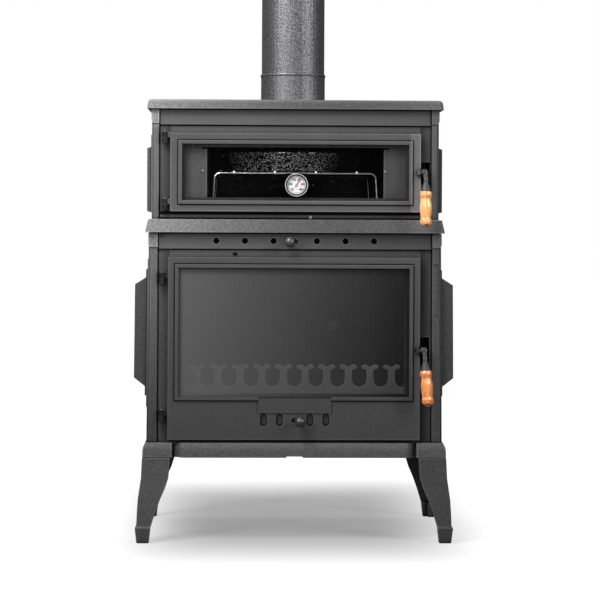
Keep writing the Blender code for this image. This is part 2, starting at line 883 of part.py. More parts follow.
def build_shield(hand, side, wall_face):
    seat = wall_face + SEAT
    flange = seat + SHIELD_FLANGE_THICKNESS
    face = flange + SHIELD_BOX_PROUD
    bottom = base_top + SHIELD_BOTTOM
    top = base_top + SHIELD_TOP
    box_low = bottom + SHIELD_FLANGE_BOTTOM
    box_high = top - SHIELD_FLANGE_TOP
    outline = [
        (seat, bottom),
        (flange, bottom),
        (flange, box_low),
        (face, box_low + SHIELD_SLOPE_BOTTOM),
        (face, box_high - SHIELD_SLOPE_TOP),
        (flange, box_high),
        (flange, top),
        (seat, top),
    ]
    wall = SHIELD_WALL
    hollow_edge = [
        (seat - wall, box_low + wall),
        (flange, box_low + wall),
        (face - wall, box_low + SHIELD_SLOPE_BOTTOM + wall),
        (face - wall, box_high - SHIELD_SLOPE_TOP - wall),
        (flange, box_high - wall),
        (seat - wall, box_high - wall),
    ]
    front = SHIELD_INSET
    back = BODY_DEPTH - SHIELD_INSET
    shield = plate(
        f"side_shield_{hand}", [[(side * x, z) for x, z in outline]], front, back, "Y"
    )
    hollow = plate(
        f"shield_hollow_{hand}",
        [[(side * x, z) for x, z in hollow_edge]],
        front + wall,
        back - wall,
        "Y",
    )
    lean_out(shield, side, 0)
    lean_out(hollow, side, 0)
    cut(shield, hollow)
    for level, up in (("lower", SHIELD_SCREW_LOW), ("upper", SHIELD_SCREW_HIGH)):
        height = bottom + up
        middle = BODY_DEPTH / 2
        face = flange + SHIELD_BOX_PROUD + flare_at(height)
        hole = bar(
            f"screw_hole_{hand}_{level}",
            (side * (face - 2 * wall), middle, height),
            (side * (face + wall), middle, height),
            SHIELD_SCREW_RADIUS / 2 + RUNNING,
            COARSE,
        )
        cut(shield, hole)
        head = bar(
            f"shield_screw_{hand}_{level}",
            (side * (face + SEAT), middle, height),
            (side * (face + SHIELD_SCREW_HEAD), middle, height),
            SHIELD_SCREW_RADIUS,
            COARSE,
        )
        shank = bar(
            f"screw_shank_{hand}_{level}",
            (side * (face - 2 * wall), middle, height),
            (side * (face + SHIELD_SCREW_HEAD / 2), middle, height),
            SHIELD_SCREW_RADIUS / 2,
            COARSE,
        )
        join(head, shank)
        finish(head, "bright steel")
    finish(shield, "cast iron")


def build_backs():
    for name, width, column, bottom, top in (
        ("firebox_back", FIREBOX_WIDTH, FIREBOX_COLUMN, base_top, firebox_top),
        ("oven_back", OVEN_WIDTH, OVEN_COLUMN, middle_top, oven_top),
    ):
        half = width / 2 - column - SEAT
        back = cuboid(
            name,
            (-half, back_front, bottom + SEAT),
            (half, back_front + BACK_THICKNESS - BACK_FIELD_PROUD, top - SEAT),
        )
        field = flared_field(name + "_field", half, bottom, top)
        join(back, field)
        finish(back, "cast iron")


# The raised field of a back plate, with sloped edges
def flared_field(name, half, bottom, top):
    margin = BACK_FIELD_MARGIN
    low = (-half + margin, back_front + BACK_THICKNESS / 2, bottom + margin)
    high = (half - margin, back_front + BACK_THICKNESS, top - margin)
    low = Vector(low)
    high = Vector(high)
    size = high - low
    shape = bmesh.new()
    bmesh.ops.create_cube(shape, size=1.0)
    bmesh.ops.scale(shape, vec=size, verts=shape.verts)
    outer = [v for v in shape.verts if v.co.y > 0]
    slope = 2 * BACK_FIELD_SLOPE
    bmesh.ops.scale(shape, vec=(1 - slope / size.x, 1, 1 - slope / size.z), verts=outer)
    return from_bmesh(name, shape, (low + high) / 2)


# Where each door and its window, hinge and latch are, from the named sizes
def door_places(**given):
    door = SimpleNamespace(**given)
    door.left = door.middle - door.half
    door.right = door.middle + door.half
    door.window_left = door.left + door.window_side
    door.window_right = door.right - door.window_side
    door.window_top = door.top - door.window_top_margin
    door.window_bottom = door.bottom + door.window_bottom_margin
    door.face = -DOOR_GAP - DOOR_THICKNESS
    door.hinge_x = door.left - door.hinge_offset
    door.hinge_seats = (door.top - door.hinge_upper, door.bottom + door.hinge_lower)
    door.pivot_z = door.top - door.latch_drop
    door.lever_x = door.right + LEVER_OFFSET
    door.slot_left = door.right + SLOT_START
    door.slot_right = door.slot_left + SLOT_WIDTH
    door.glass_face = door.face + GLASS_FROM_FACE
    door.glass_back = door.glass_face + SEAT + GLASS_THICKNESS
    return door


fire = door_places(
    name="fire",
    look="fire wood grip",
    middle=FIRE_DOOR_MIDDLE,
    half=FIREBOX_WIDTH / 2 - FIRE_DOOR_SIDE_MARGIN,
    bottom=base_top + FIRE_DOOR_FLOOR_GAP,
    top=firebox_top - FIRE_DOOR_TOP_MARGIN,
    window_side=FIRE_WINDOW_SIDE,
    window_top_margin=FIRE_WINDOW_TOP,
    window_bottom_margin=FIRE_WINDOW_BOTTOM,
    hinge_offset=FIRE_HINGE_OFFSET,
    hinge_upper=FIRE_HINGE_UPPER,
    hinge_lower=FIRE_HINGE_LOWER,
    latch_drop=FIRE_LATCH_DROP,
    slot_above=FIRE_SLOT_ABOVE,
    slot_below=FIRE_SLOT_BELOW,
    lean=FIRE_GRIP_LEAN,
)

oven = door_places(
    name="oven",
    look="oven wood grip",
    middle=0,
    half=OVEN_WIDTH / 2 - OVEN_DOOR_SIDE_MARGIN,
    bottom=middle_top + OVEN_DOOR_FLOOR_GAP,
    top=oven_top - OVEN_DOOR_TOP_MARGIN,
    window_side=OVEN_WINDOW_SIDE,
    window_top_margin=OVEN_WINDOW_TOP,
    window_bottom_margin=OVEN_WINDOW_BOTTOM,
    hinge_offset=OVEN_HINGE_OFFSET,
    hinge_upper=OVEN_HINGE_UPPER,
    hinge_lower=OVEN_HINGE_LOWER,
    latch_drop=OVEN_LATCH_DROP,
    slot_above=OVEN_SLOT_ABOVE,
    slot_below=OVEN_SLOT_BELOW,
    lean=OVEN_GRIP_LEAN,
)

secondary_z = firebox_top - SECONDARY_DROP
primary_z = fire.bottom + PRIMARY_SLOT_UP
thermometer_z = oven.top - THERMOMETER_DROP


def frame_plate(name, width, column, bottom, top, door, mouth):
    half = width / 2 - column - COLUMN_GAP
    latch_slot = rectangle(
        door.slot_left,
        door.slot_right,
        door.pivot_z - door.slot_below,
        door.pivot_z + door.slot_above,
    )
    edge = rectangle(-half, half, bottom + SEAT, top - SEAT)
    frame = plate(name, [edge, mouth, latch_slot], 0, FRAME_THICKNESS, "Y")
    for number, seat_z in enumerate(door.hinge_seats):
        low = seat_z - KNUCKLE_HEIGHT
        barrel = bar(
            f"{name}_barrel_{number}",
            (door.hinge_x, -HINGE_FORWARD, low),
            (door.hinge_x, -HINGE_FORWARD, seat_z),
            KNUCKLE_RADIUS,
            COARSE,
        )
        arm = cuboid(
            f"{name}_arm_{number}",
            (door.hinge_x - HINGE_ARM_HALF, -HINGE_FORWARD, low + KNUCKLE_EDGE),
            (door.hinge_x + HINGE_ARM_HALF, FRAME_THICKNESS / 2, seat_z - KNUCKLE_EDGE),
        )
        join(frame, barrel, arm)
        cut(frame, pin_bore(f"{name}_bore_{number}", door, seat_z))
    return frame


def pin_bore(name, door, seat_z):
    return bar(
        name,
        (door.hinge_x, -HINGE_FORWARD, seat_z - 2 * KNUCKLE_HEIGHT),
        (door.hinge_x, -HINGE_FORWARD, seat_z + 2 * KNUCKLE_HEIGHT),
        HINGE_PIN_RADIUS + RUNNING,
        COARSE,
    )


def build_frames():
    holes = []
    for number in range(SECONDARY_HOLES):
        holes.append(circle(secondary_hole_x(number), secondary_z, SECONDARY_HOLE_RADIUS))
    knob_slot = slot(
        SECONDARY_KNOB_AT - SECONDARY_KNOB_REACH_LEFT,
        SECONDARY_KNOB_AT + SECONDARY_KNOB_REACH_RIGHT,
        secondary_z - (KNOB_DROP + KNOB_SLOT_HEIGHT) / 2,
        secondary_z - (KNOB_DROP - KNOB_SLOT_HEIGHT) / 2,
    )
    holes.append(knob_slot)
    mouth_half = fire.half - FIRE_MOUTH_SIDE
    mouth = rectangle(
        -mouth_half, mouth_half, fire.bottom + FIRE_MOUTH_BOTTOM, fire.top - FIRE_MOUTH_TOP
    )
    frame = frame_plate(
        "firebox_front",
        FIREBOX_WIDTH,
        FIREBOX_COLUMN,
        base_top,
        firebox_top,
        fire,
        mouth,
    )
    half = FIREBOX_WIDTH / 2 - FIREBOX_COLUMN - COLUMN_GAP - SEAT
    frieze = cuboid(
        "fire_frieze",
        (-half, -FRIEZE_PROUD, fire.top + FIRE_FRIEZE_UP),
        (half, FRAME_THICKNESS / 2, firebox_top - 2 * SEAT),
    )
    join(frame, frieze)
    groove = frieze_groove("fire_frieze_groove", fire.top + FIRE_FRIEZE_UP)
    slide_half = (SLIDE_HEIGHT / 2) + SEAT
    for number, low in enumerate(
        (secondary_z - slide_half - SLIDE_GUIDE_HEIGHT, secondary_z + slide_half)
    ):
        guide = cuboid(
            f"slide_guide_{number}",
            (-mouth_half, FRAME_THICKNESS / 2, low),
            (mouth_half, FRAME_THICKNESS + SLIDE_GUIDE_DEPTH, low + SLIDE_GUIDE_HEIGHT),
        )
        join(frame, guide)
    air_holes = plate(
        "secondary_air_holes", holes, -FRAME_THICKNESS, 2 * FRAME_THICKNESS, "Y"
    )
    cut(frame, air_holes, groove)
    finish(frame, "cast iron")

    inner_half = OVEN_INNER_WIDTH / 2
    mouth = rectangle(
        -inner_half, inner_half, middle_top + OVEN_FLOOR_UP, oven_top - OVEN_CEILING_DROP
    )
    frame = frame_plate(
        "oven_front", OVEN_WIDTH, OVEN_COLUMN, middle_top, oven_top, oven, mouth
    )
    half = OVEN_WIDTH / 2 - OVEN_COLUMN - COLUMN_GAP - SEAT
    frieze = cuboid(
        "oven_frieze",
        (-half, -FRIEZE_PROUD, oven.top + OVEN_FRIEZE_UP),
        (half, FRAME_THICKNESS / 2, oven_top - 2 * SEAT),
    )
    sill = cuboid(
        "oven_sill",
        (-half, -COLUMN_PROUD, middle_top + 2 * SEAT),
        (half, FRAME_THICKNESS / 2, middle_top + OVEN_SILL_HEIGHT),
    )
    join(frame, frieze, sill)
    cut(frame, frieze_groove("oven_frieze_groove", oven.top + OVEN_FRIEZE_UP))
    finish(frame, "cast iron")


# The shadow line under a frieze runs the whole width of its front
def frieze_groove(name, top):
    return cuboid(
        name,
        (-FIREBOX_WIDTH, -FRAME_THICKNESS, top - GROOVE_HEIGHT),
        (FIREBOX_WIDTH, GROOVE_DEPTH, top),
    )


def secondary_hole_x(number):
    outward = number - (SECONDARY_HOLES - 1) / 2
    middle = SECONDARY_CENTRE_PITCH / 2
    step = abs(outward) - 0.5
    return math.copysign(middle + step * SECONDARY_HOLE_PITCH, outward)


def build_plates():
    flue_y = BODY_DEPTH - FLUE_FROM_BACK
    half = FIREBOX_WIDTH / 2 + MIDDLE_OVERHANG
    low = (-half, -COLUMN_PROUD - MIDDLE_OVERHANG - MIDDLE_FLARE, firebox_top)
    high = (half, BODY_DEPTH + MIDDLE_OVERHANG, middle_top)
    middle = flared_slab("middle_plate", low, high, MIDDLE_FLARE, PLATE_CORNER, 0)
    hollow = cuboid(
        "middle_hollow",
        (-FIREBOX_WIDTH / 2 + PLATE_RIM, PLATE_RIM, firebox_top - PLATE_RIM),
        (FIREBOX_WIDTH / 2 - PLATE_RIM, BODY_DEPTH - PLATE_RIM, middle_top - PLATE_SKIN),
    )
    cut(middle, hollow)
    for number in (-1, 0, 1):
        across = number * SMOKE_SLOT_PITCH
        back = BODY_DEPTH - SMOKE_SLOT_FROM_BACK
        smoke = plate(
            f"smoke_slot_{number + 2}",
            [
                slot(
                    across - SMOKE_SLOT_LENGTH / 2,
                    across + SMOKE_SLOT_LENGTH / 2,
                    back - SMOKE_SLOT_WIDTH,
                    back,
                )
            ],
            firebox_top,
            middle_top + PLATE_SKIN,
            "Z",
        )
        cut(middle, smoke)
    finish(middle, "plate iron")

    half = OVEN_WIDTH / 2 + TOP_OVERHANG
    low = (-half, -COLUMN_PROUD - TOP_OVERHANG, oven_top)
    high = (half, BODY_DEPTH + TOP_BACK_OVERHANG, plate_top)
    top = flared_slab("top_plate", low, high, TOP_FLARE, PLATE_CORNER, TOP_EDGE_ROUND)
    hollow = cuboid(
        "top_hollow",
        (-OVEN_WIDTH / 2 + PLATE_RIM, PLATE_RIM, oven_top - PLATE_RIM),
        (OVEN_WIDTH / 2 - PLATE_RIM, BODY_DEPTH - PLATE_RIM, plate_top - PLATE_SKIN),
    )
    flue_hole = bar(
        "flue_hole",
        (0, flue_y, oven_top - PLATE_RIM),
        (0, flue_y, plate_top + PLATE_RIM),
        FLUE_DIAMETER / 2 - FLUE_WALL - COLLAR_WALL,
        FINE,
    )
    cut(top, hollow, flue_hole)
    finish(top, "plate iron")
    build_flue(flue_y)


def build_flue(flue_y):
    outer = FLUE_DIAMETER / 2
    inner = outer - FLUE_WALL
    spigot = outer
    bore = inner - COLLAR_WALL
    flange = spigot + COLLAR_FLANGE
    thickness = COLLAR_FLANGE_THICKNESS
    collar = turned(
        "flue_collar",
        [
            (spigot, COLLAR_HEIGHT),
            (spigot, thickness),
            (flange, thickness),
            (flange, 0),
            (bore, 0),
            (bore, COLLAR_HEIGHT),
        ],
        (0, flue_y, plate_top + SEAT),
        FINE,
        closed=True,
    )
    finish(collar, "cast iron")
    foot = thickness + SEAT
    socket_in = spigot + SEAT
    socket_out = socket_in + FLUE_WALL
    socket_top = foot + SOCKET_LENGTH
    bead = socket_out + BEAD_PROUD
    pipe = turned(
        "flue_pipe",
        [
            (outer, FLUE_LENGTH + foot),
            (outer, socket_top + BEAD_HEIGHT),
            (bead - 0.0005, socket_top + BEAD_HEIGHT * 0.8),
            (bead, socket_top + BEAD_HEIGHT * 0.5),
            (bead - 0.0005, socket_top + BEAD_HEIGHT * 0.2),
            (socket_out, socket_top),
            (socket_out, foot),
            (socket_in, foot),
            (socket_in, socket_top),
            (inner, socket_top + BEAD_HEIGHT),
            (inner, FLUE_LENGTH + foot),
        ],
        (0, flue_y, plate_top + SEAT),
        FINE,
        closed=True,
    )
    finish(pipe, "flue steel")


def build_door_frame(door, extra_holes):
    body = f"{door.name}_door"
    edge = rectangle(door.left, door.right, door.bottom, door.top)
    window = rectangle(
        door.window_left, door.window_right, door.window_bottom, door.window_top
    )
    frame = plate(
        f"{body}_frame", [edge, window] + extra_holes, door.face, -DOOR_GAP, "Y"
    )
    lap = GLASS_LAP
    pocket = cuboid(
        f"{body}_pocket",
        (door.window_left - lap, door.glass_face, door.window_bottom - lap),
        (door.window_right + lap, DOOR_GAP, door.window_top + lap),
    )
    width = BEAD_WIDTH
    outer = rectangle(
        door.window_left - width,
        door.window_right + width,
        door.window_bottom - width,
        door.window_top + width,
    )
    bead = plate(
        f"{body}_bead",
        [outer, window],
        door.face - DOOR_BEAD_PROUD,
        door.face + GLASS_FROM_FACE / 2,
        "Y",
    )
    round_bead = bead.modifiers.new("Rounding", "BEVEL")
    round_bead.width = DOOR_BEAD_ROUND
    round_bead.segments = EDGE_STEPS
    round_bead.limit_method = "ANGLE"
    round_bead.angle_limit = math.radians(SHARP_ANGLE)
    if door.name == "fire":
        plaque_top = door.window_bottom - PLAQUE_DROP
        gap = cuboid(
            "plaque_gap",
            (-PLAQUE_WIDTH / 2, door.face - 2 * DOOR_BEAD_PROUD, door.window_bottom - 2 * width),
            (PLAQUE_WIDTH / 2, door.face + DOOR_BEAD_PROUD, plaque_top),
        )
        cut(bead, gap)
        plaque = cuboid(
            "plaque",
            (-PLAQUE_WIDTH / 2, door.face - PLAQUE_PROUD, plaque_top - PLAQUE_HEIGHT),
            (PLAQUE_WIDTH / 2, door.face + PLAQUE_PROUD, plaque_top),
        )
        join(frame, plaque)
    join(frame, bead)
    for number, seat_z in enumerate(door.hinge_seats):
        low = seat_z + SEAT
        high = low + KNUCKLE_HEIGHT
        barrel = bar(
            f"{body}_barrel_{number}",
            (door.hinge_x, -HINGE_FORWARD, low),
            (door.hinge_x, -HINGE_FORWARD, high),
            KNUCKLE_RADIUS,
            COARSE,
        )
        arm = cuboid(
            f"{body}_arm_{number}",
            (door.hinge_x, door.face + HINGE_ARM_SET_IN, low + KNUCKLE_EDGE),
            (door.left + HINGE_ARM_LAP, -DOOR_GAP - KNUCKLE_EDGE, high - KNUCKLE_EDGE),
        )
        join(frame, barrel, arm)
        cut(frame, pin_bore(f"{body}_bore_{number}", door, seat_z))
    lug = cuboid(
        f"{body}_lug",
        (door.right - LUG_WIDTH, pivot_y - LUG_PROUD, door.pivot_z - LUG_HEIGHT / 2),
        (door.right, door.face + DOOR_THICKNESS / 2, door.pivot_z + LUG_HEIGHT / 2),
    )
    round_lug = lug.modifiers.new("Rounding", "BEVEL")
    round_lug.width = LUG_ROUND
    round_lug.segments = EDGE_STEPS
    join(frame, lug)
    lug_bore = bar(
        f"{body}_lug_bore",
        (door.right - LUG_WIDTH - LUG_FLOOR, pivot_y, door.pivot_z),
        (door.right + LUG_WIDTH, pivot_y, door.pivot_z),
        HINGE_PIN_RADIUS + RUNNING,
        COARSE,
    )
    cut(frame, lug_bore, pocket)
    return frame


def build_door(door, extra_holes, extra_cuts):
    body = f"{door.name}_door"
    add_axis(body, (door.hinge_x, -HINGE_FORWARD, door.bottom), "stove")
    frame = build_door_frame(door, extra_holes)
    cut(frame, *extra_cuts)
    finish(frame, "cast iron", body)

    lap = GLASS_LAP - SEAT
    glass_edge = rectangle(
        door.window_left - lap,
        door.window_right + lap,
        door.window_bottom - lap,
        door.window_top + lap,
    )
    holes = []
    if door.name == "oven":
        holes.append(
            circle(THERMOMETER_ACROSS, thermometer_z, THERMOMETER_STEM_RADIUS + RUNNING)
        )
    glass = plate(
        f"{body}_glass", [glass_edge] + holes, door.glass_face + SEAT, door.glass_back, "Y"
    )
    finish(glass, "glass", body)

    inner = rectangle(
        door.window_left - lap + RETAINER_WIDTH,
        door.window_right + lap - RETAINER_WIDTH,
        door.window_bottom - lap + RETAINER_WIDTH,
        door.window_top + lap - RETAINER_WIDTH,
    )
    retainer = plate(
        f"{door.name}_glass_retainer",
        [glass_edge, inner],
        door.glass_back + SEAT,
        door.glass_back + SEAT + RETAINER_THICKNESS,
        "Y",
    )
    finish(retainer, "sheet steel", body)

    seal_edges = []
    for inset in (SEAL_INSET, SEAL_INSET + SEAL_WIDTH):
        seal_edges.append(
            rounded_rectangle(
                door.left + inset,
                door.right - inset,
                door.bottom + inset,
                door.top - inset,
                SEAL_CORNER,
            )
        )
    seal = plate(f"{body}_seal", seal_edges, -DOOR_GAP + SEAT, -SEAT, "Y")
    finish(seal, "rope", body)

    for number, seat_z in enumerate(door.hinge_seats):
        level = ("upper", "lower")[number]
        head = seat_z + SEAT + KNUCKLE_HEIGHT + SEAT
        pin = turned(
            f"{door.name}_hinge_pin_{level}",
            [
                (0, head + PIN_HEAD_HEIGHT - seat_z),
                (PIN_HEAD_RADIUS * 0.6, head + PIN_HEAD_HEIGHT * 0.85 - seat_z),
                (PIN_HEAD_RADIUS, head + PIN_HEAD_HEIGHT * 0.3 - seat_z),
                (PIN_HEAD_RADIUS, head - seat_z),
                (HINGE_PIN_RADIUS, head - seat_z),
                (HINGE_PIN_RADIUS, -KNUCKLE_HEIGHT),
                (0, -KNUCKLE_HEIGHT),
            ],
            (door.hinge_x, -HINGE_FORWARD, seat_z),
            COARSE,
        )
        finish(pin, "bright steel")
    build_handle(door)


# A rectangle with its corners rounded
def rounded_rectangle(left, right, bottom, top, radius):
    corners = ((1, 1, 0), (-1, 1, 90), (-1, -1, 180), (1, -1, 270))
    outline = []
    for across, up, first in corners:
        x = right - radius if across > 0 else left + radius
        z = top - radius if up > 0 else bottom + radius
        outline += arc(x, z, radius, first, first + 90, 3)
    return outline


# Shares of the grip's length, from the top down, and of its radius
GRIP_SHAPE = (
    (0.000, 0.82),
    (0.030, 0.93),
    (0.080, 0.99),
    (0.140, 0.97),
    (0.190, 0.89),
    (0.225, 0.84),
    (0.290, 0.89),
    (0.380, 0.97),
    (0.460, 1.00),
    (0.580, 0.98),
    (0.690, 0.90),
    (0.765, 0.84),
    (0.795, 0.88),
    (0.830, 0.96),
    (0.880, 0.99),
    (0.940, 0.94),
    (0.980, 0.80),
    (1.000, 0.66),
)


def build_handle(door):
    body = f"{door.name}_handle"
    add_axis(body, (door.lever_x, pivot_y, door.pivot_z), f"{door.name}_door")
    left = door.lever_x - LEVER_THICKNESS / 2
    right = door.lever_x + LEVER_THICKNESS / 2

    pin = bar(
        f"{body}_pin",
        (door.right - LUG_WIDTH + LUG_FLOOR, pivot_y, door.pivot_z),
        (right + SEAT + PIN_CAP / 2, pivot_y, door.pivot_z),
        HINGE_PIN_RADIUS,
        COARSE,
    )
    pin_head = bar(
        f"{body}_pin_head",
        (right + SEAT, pivot_y, door.pivot_z),
        (right + SEAT + PIN_CAP, pivot_y, door.pivot_z),
        PIN_HEAD_RADIUS,
        COARSE,
    )
    join(pin, pin_head)
    finish(pin, "bright steel", f"{door.name}_door")

    # The lever's side view, measured from its pivot: back is towards the firebox
    hook_front = PIVOT_FORWARD + FRAME_THICKNESS + HOOK_CLEARANCE
    hook_back = hook_front + HOOK_THICKNESS
    tip = door.slot_above - HOOK_TIP_GAP
    tail = TAIL_HEIGHT / 2
    eye = LEVER_EYE_RADIUS
    front = -ARM_REACH - NECK_HALF
    rear = -ARM_REACH + NECK_HALF
    neck_end = -NECK_DROP - FERRULE_BAND
    arm_low = -NECK_BEND + NECK_HALF
    side_view = [
        (hook_back, tip),
        (hook_front, tip),
        (hook_front, tail + HOOK_FILLET),
        (hook_front - HOOK_FILLET, tail),
        (eye * 0.25, eye * 0.9),
        (-eye * 0.9, eye * 0.4),
        (-ARM_REACH * 0.85, arm_low + NECK_HALF * 1.3),
        (front, -NECK_BEND),
        (front, neck_end),
        (rear, neck_end),
        (rear, -NECK_BEND - NECK_HALF * 0.5),
        (-ARM_REACH * 0.65, arm_low),
        (-eye * 0.35, -eye * 0.9),
        (eye * 0.7, -tail),
        (hook_back, -tail),
    ]
    outline = [(pivot_y + back, door.pivot_z + up) for back, up in side_view]
    lever = plate(f"{body}_lever", [outline], left, right, "X")
    boss = bar(
        f"{body}_eye",
        (left - LEVER_BOSS, pivot_y, door.pivot_z),
        (right, pivot_y, door.pivot_z),
        eye,
        COARSE,
    )
    neck = (door.lever_x, grip_y, door.pivot_z - NECK_DROP)
    end = -FERRULE_LENGTH
    ferrule = turned(
        f"{body}_ferrule",
        [
            (0, FERRULE_BAND),
            (FERRULE_TOP_RADIUS, FERRULE_BAND),
            (FERRULE_TOP_RADIUS, 0),
            (FERRULE_BOTTOM_RADIUS, end + FERRULE_BAND),
            (FERRULE_BOTTOM_RADIUS, end),
            (0, end),
        ],
        neck,
        COARSE,
    )
    grasp = bar(
        f"{body}_screw_bore",
        (0, 0, end - GRIP_SCREW_GRASP),
        (0, 0, end + GRIP_SCREW_GRASP + RUNNING),
        GRIP_SCREW_RADIUS + RUNNING,
        COARSE,
    )
    pin_hole = bar(
        f"{body}_pin_hole",
        (left - LEVER_THICKNESS, pivot_y, door.pivot_z),
        (right + LEVER_THICKNESS, pivot_y, door.pivot_z),
        HINGE_PIN_RADIUS + RUNNING,
        COARSE,
    )
    lean = -math.radians(door.lean)
    turn = Matrix.Rotation(lean, 3, "Y")
    ferrule.rotation_euler.y = lean
    grasp.rotation_euler.y = lean
    grasp.location = Vector(neck) + turn @ grasp.location
    join(lever, boss, ferrule)
    cut(lever, grasp, pin_hole)
    finish(lever, "cast iron", body)

    top = end - SEAT
    radius = GRIP_RADIUS
    bore = GRIP_SCREW_RADIUS + RUNNING
    profile = [(radius * wide, top - GRIP_LENGTH * down) for down, wide in GRIP_SHAPE]
    profile += [(bore, top - GRIP_LENGTH), (bore, top)]
    grip = turned(f"{body}_grip", profile, neck, ROUND, closed=True)
    grip.rotation_euler.y = lean
    finish(grip, door.look, body)

    head_top = top - GRIP_LENGTH - SEAT
    head_bottom = head_top - GRIP_SCREW_HEAD_HEIGHT
    screw = turned(
        f"{body}_screw",
        [
            (0, end + GRIP_SCREW_GRASP),
            (GRIP_SCREW_RADIUS, end + GRIP_SCREW_GRASP),
            (GRIP_SCREW_RADIUS, head_top),
            (GRIP_SCREW_HEAD_RADIUS, head_top),
            (GRIP_SCREW_HEAD_RADIUS * 0.9, head_bottom + GRIP_SCREW_HEAD_HEIGHT / 4),
            (GRIP_SCREW_HEAD_RADIUS * 0.4, head_bottom),
            (0, head_bottom),
        ],
        neck,
        COARSE,
    )
    screw.rotation_euler.y = lean
    finish(screw, "bright steel", body)


def build_knob(name, across, front, back, height, body):
    reach = back - front
    length = reach + KNOB_NECK
    ball = [(0, length + 2 * KNOB_RADIUS)]
    for step in range(1, 8):
        angle = math.pi * step / 8 * 0.92
        ball.append(
            (KNOB_RADIUS * math.sin(angle), length + KNOB_RADIUS * (1 + math.cos(angle)))
        )
    profile = ball + [
        (STUD_RADIUS * 1.6, length - KNOB_COLLAR),
        (STUD_RADIUS * 1.4, reach + KNOB_COLLAR),
        (STUD_RADIUS, reach + KNOB_COLLAR / 2),
        (STUD_RADIUS, 0),
        (0, 0),
    ]
    knob = turned(name, profile, (across, back, height), COARSE, facing="front")
    finish(knob, "cast iron", body)


def primary_slots(shift):
    half = PRIMARY_SLOT_WIDTH / 2
    outlines = []
    for number in range(4):
        outward = number - 1.5
        step = abs(outward) - 0.5
        across = math.copysign(PRIMARY_CENTRE_PITCH / 2 + step * PRIMARY_SLOT_PITCH, outward)
        outlines.append(
            slot(
                across + shift - half,
                across + shift + half,
                primary_z - PRIMARY_SLOT_HEIGHT / 2,
                primary_z + PRIMARY_SLOT_HEIGHT / 2,
            )
        )
    return outlines


def build_primary_air():
    holes = primary_slots(0)
    knob_z = primary_z - KNOB_DROP
    holes.append(
        slot(
            PRIMARY_KNOB_AT - PRIMARY_KNOB_REACH_LEFT,
            PRIMARY_KNOB_AT + PRIMARY_KNOB_REACH_RIGHT,
            (primary_z + knob_z - KNOB_SLOT_HEIGHT) / 2,
            (primary_z + knob_z + KNOB_SLOT_HEIGHT) / 2,
        )
    )
    half = PRIMARY_CENTRE_PITCH / 2 + PRIMARY_SLOT_PITCH + PRIMARY_SLOT_WIDTH
    slide_back = -DOOR_GAP - SEAT
    slide_front = slide_back - SLIDE_THICKNESS
    pocket = cuboid(
        "primary_air_pocket",
        (
            -half - PRIMARY_KNOB_REACH_LEFT,
            slide_front - SEAT,
            primary_z - PRIMARY_SLIDE_HEIGHT / 2 - SEAT,
        ),
        (
            half + PRIMARY_TRAVEL + PRIMARY_KNOB_REACH_RIGHT,
            DOOR_GAP,
            primary_z + PRIMARY_SLIDE_HEIGHT / 2 + SEAT,
        ),
    )
    build_door(fire, holes, [pocket])
    add_axis("primary_air", (PRIMARY_KNOB_AT, fire.face, primary_z), "fire_door")
    edge = rectangle(
        -half,
        half + PRIMARY_TRAVEL,
        primary_z - PRIMARY_SLIDE_HEIGHT / 2,
        primary_z + PRIMARY_SLIDE_HEIGHT / 2,
    )
    stud_hole = circle(PRIMARY_KNOB_AT, knob_z, STUD_RADIUS + RUNNING)
    outlines = [edge] + primary_slots(PRIMARY_TRAVEL) + [stud_hole]
    slide = plate("primary_air_slide", outlines, slide_front, slide_back, "Y")
    finish(slide, "sheet steel", "primary_air")
    build_knob(
        "primary_air_knob", PRIMARY_KNOB_AT, fire.face, slide_back, knob_z, "primary_air"
    )


def build_secondary_air():
    slide_front = frame_back
    slide_back = slide_front + SLIDE_THICKNESS
    reach = secondary_hole_x(SECONDARY_HOLES - 1) + 3 * SECONDARY_HOLE_RADIUS
    edge = rectangle(
        -reach, reach, secondary_z - SLIDE_HEIGHT / 2, secondary_z + SLIDE_HEIGHT / 2
    )
    holes = []
    for number in range(SECONDARY_HOLES):
        holes.append(circle(secondary_hole_x(number), secondary_z, SECONDARY_HOLE_RADIUS))
    knob_z = secondary_z - KNOB_DROP
    stud_hole = circle(SECONDARY_KNOB_AT, knob_z, STUD_RADIUS + RUNNING)
    add_axis("secondary_air", (SECONDARY_KNOB_AT, 0, secondary_z), "stove")
    slide = plate(
        "secondary_air_slide", [edge] + holes + [stud_hole], slide_front, slide_back, "Y"
    )
    finish(slide, "sheet steel", "secondary_air")
    build_knob(
        "secondary_air_knob",
        SECONDARY_KNOB_AT,
        -FRIEZE_PROUD,
        slide_back,
        knob_z,
        "secondary_air",
    )


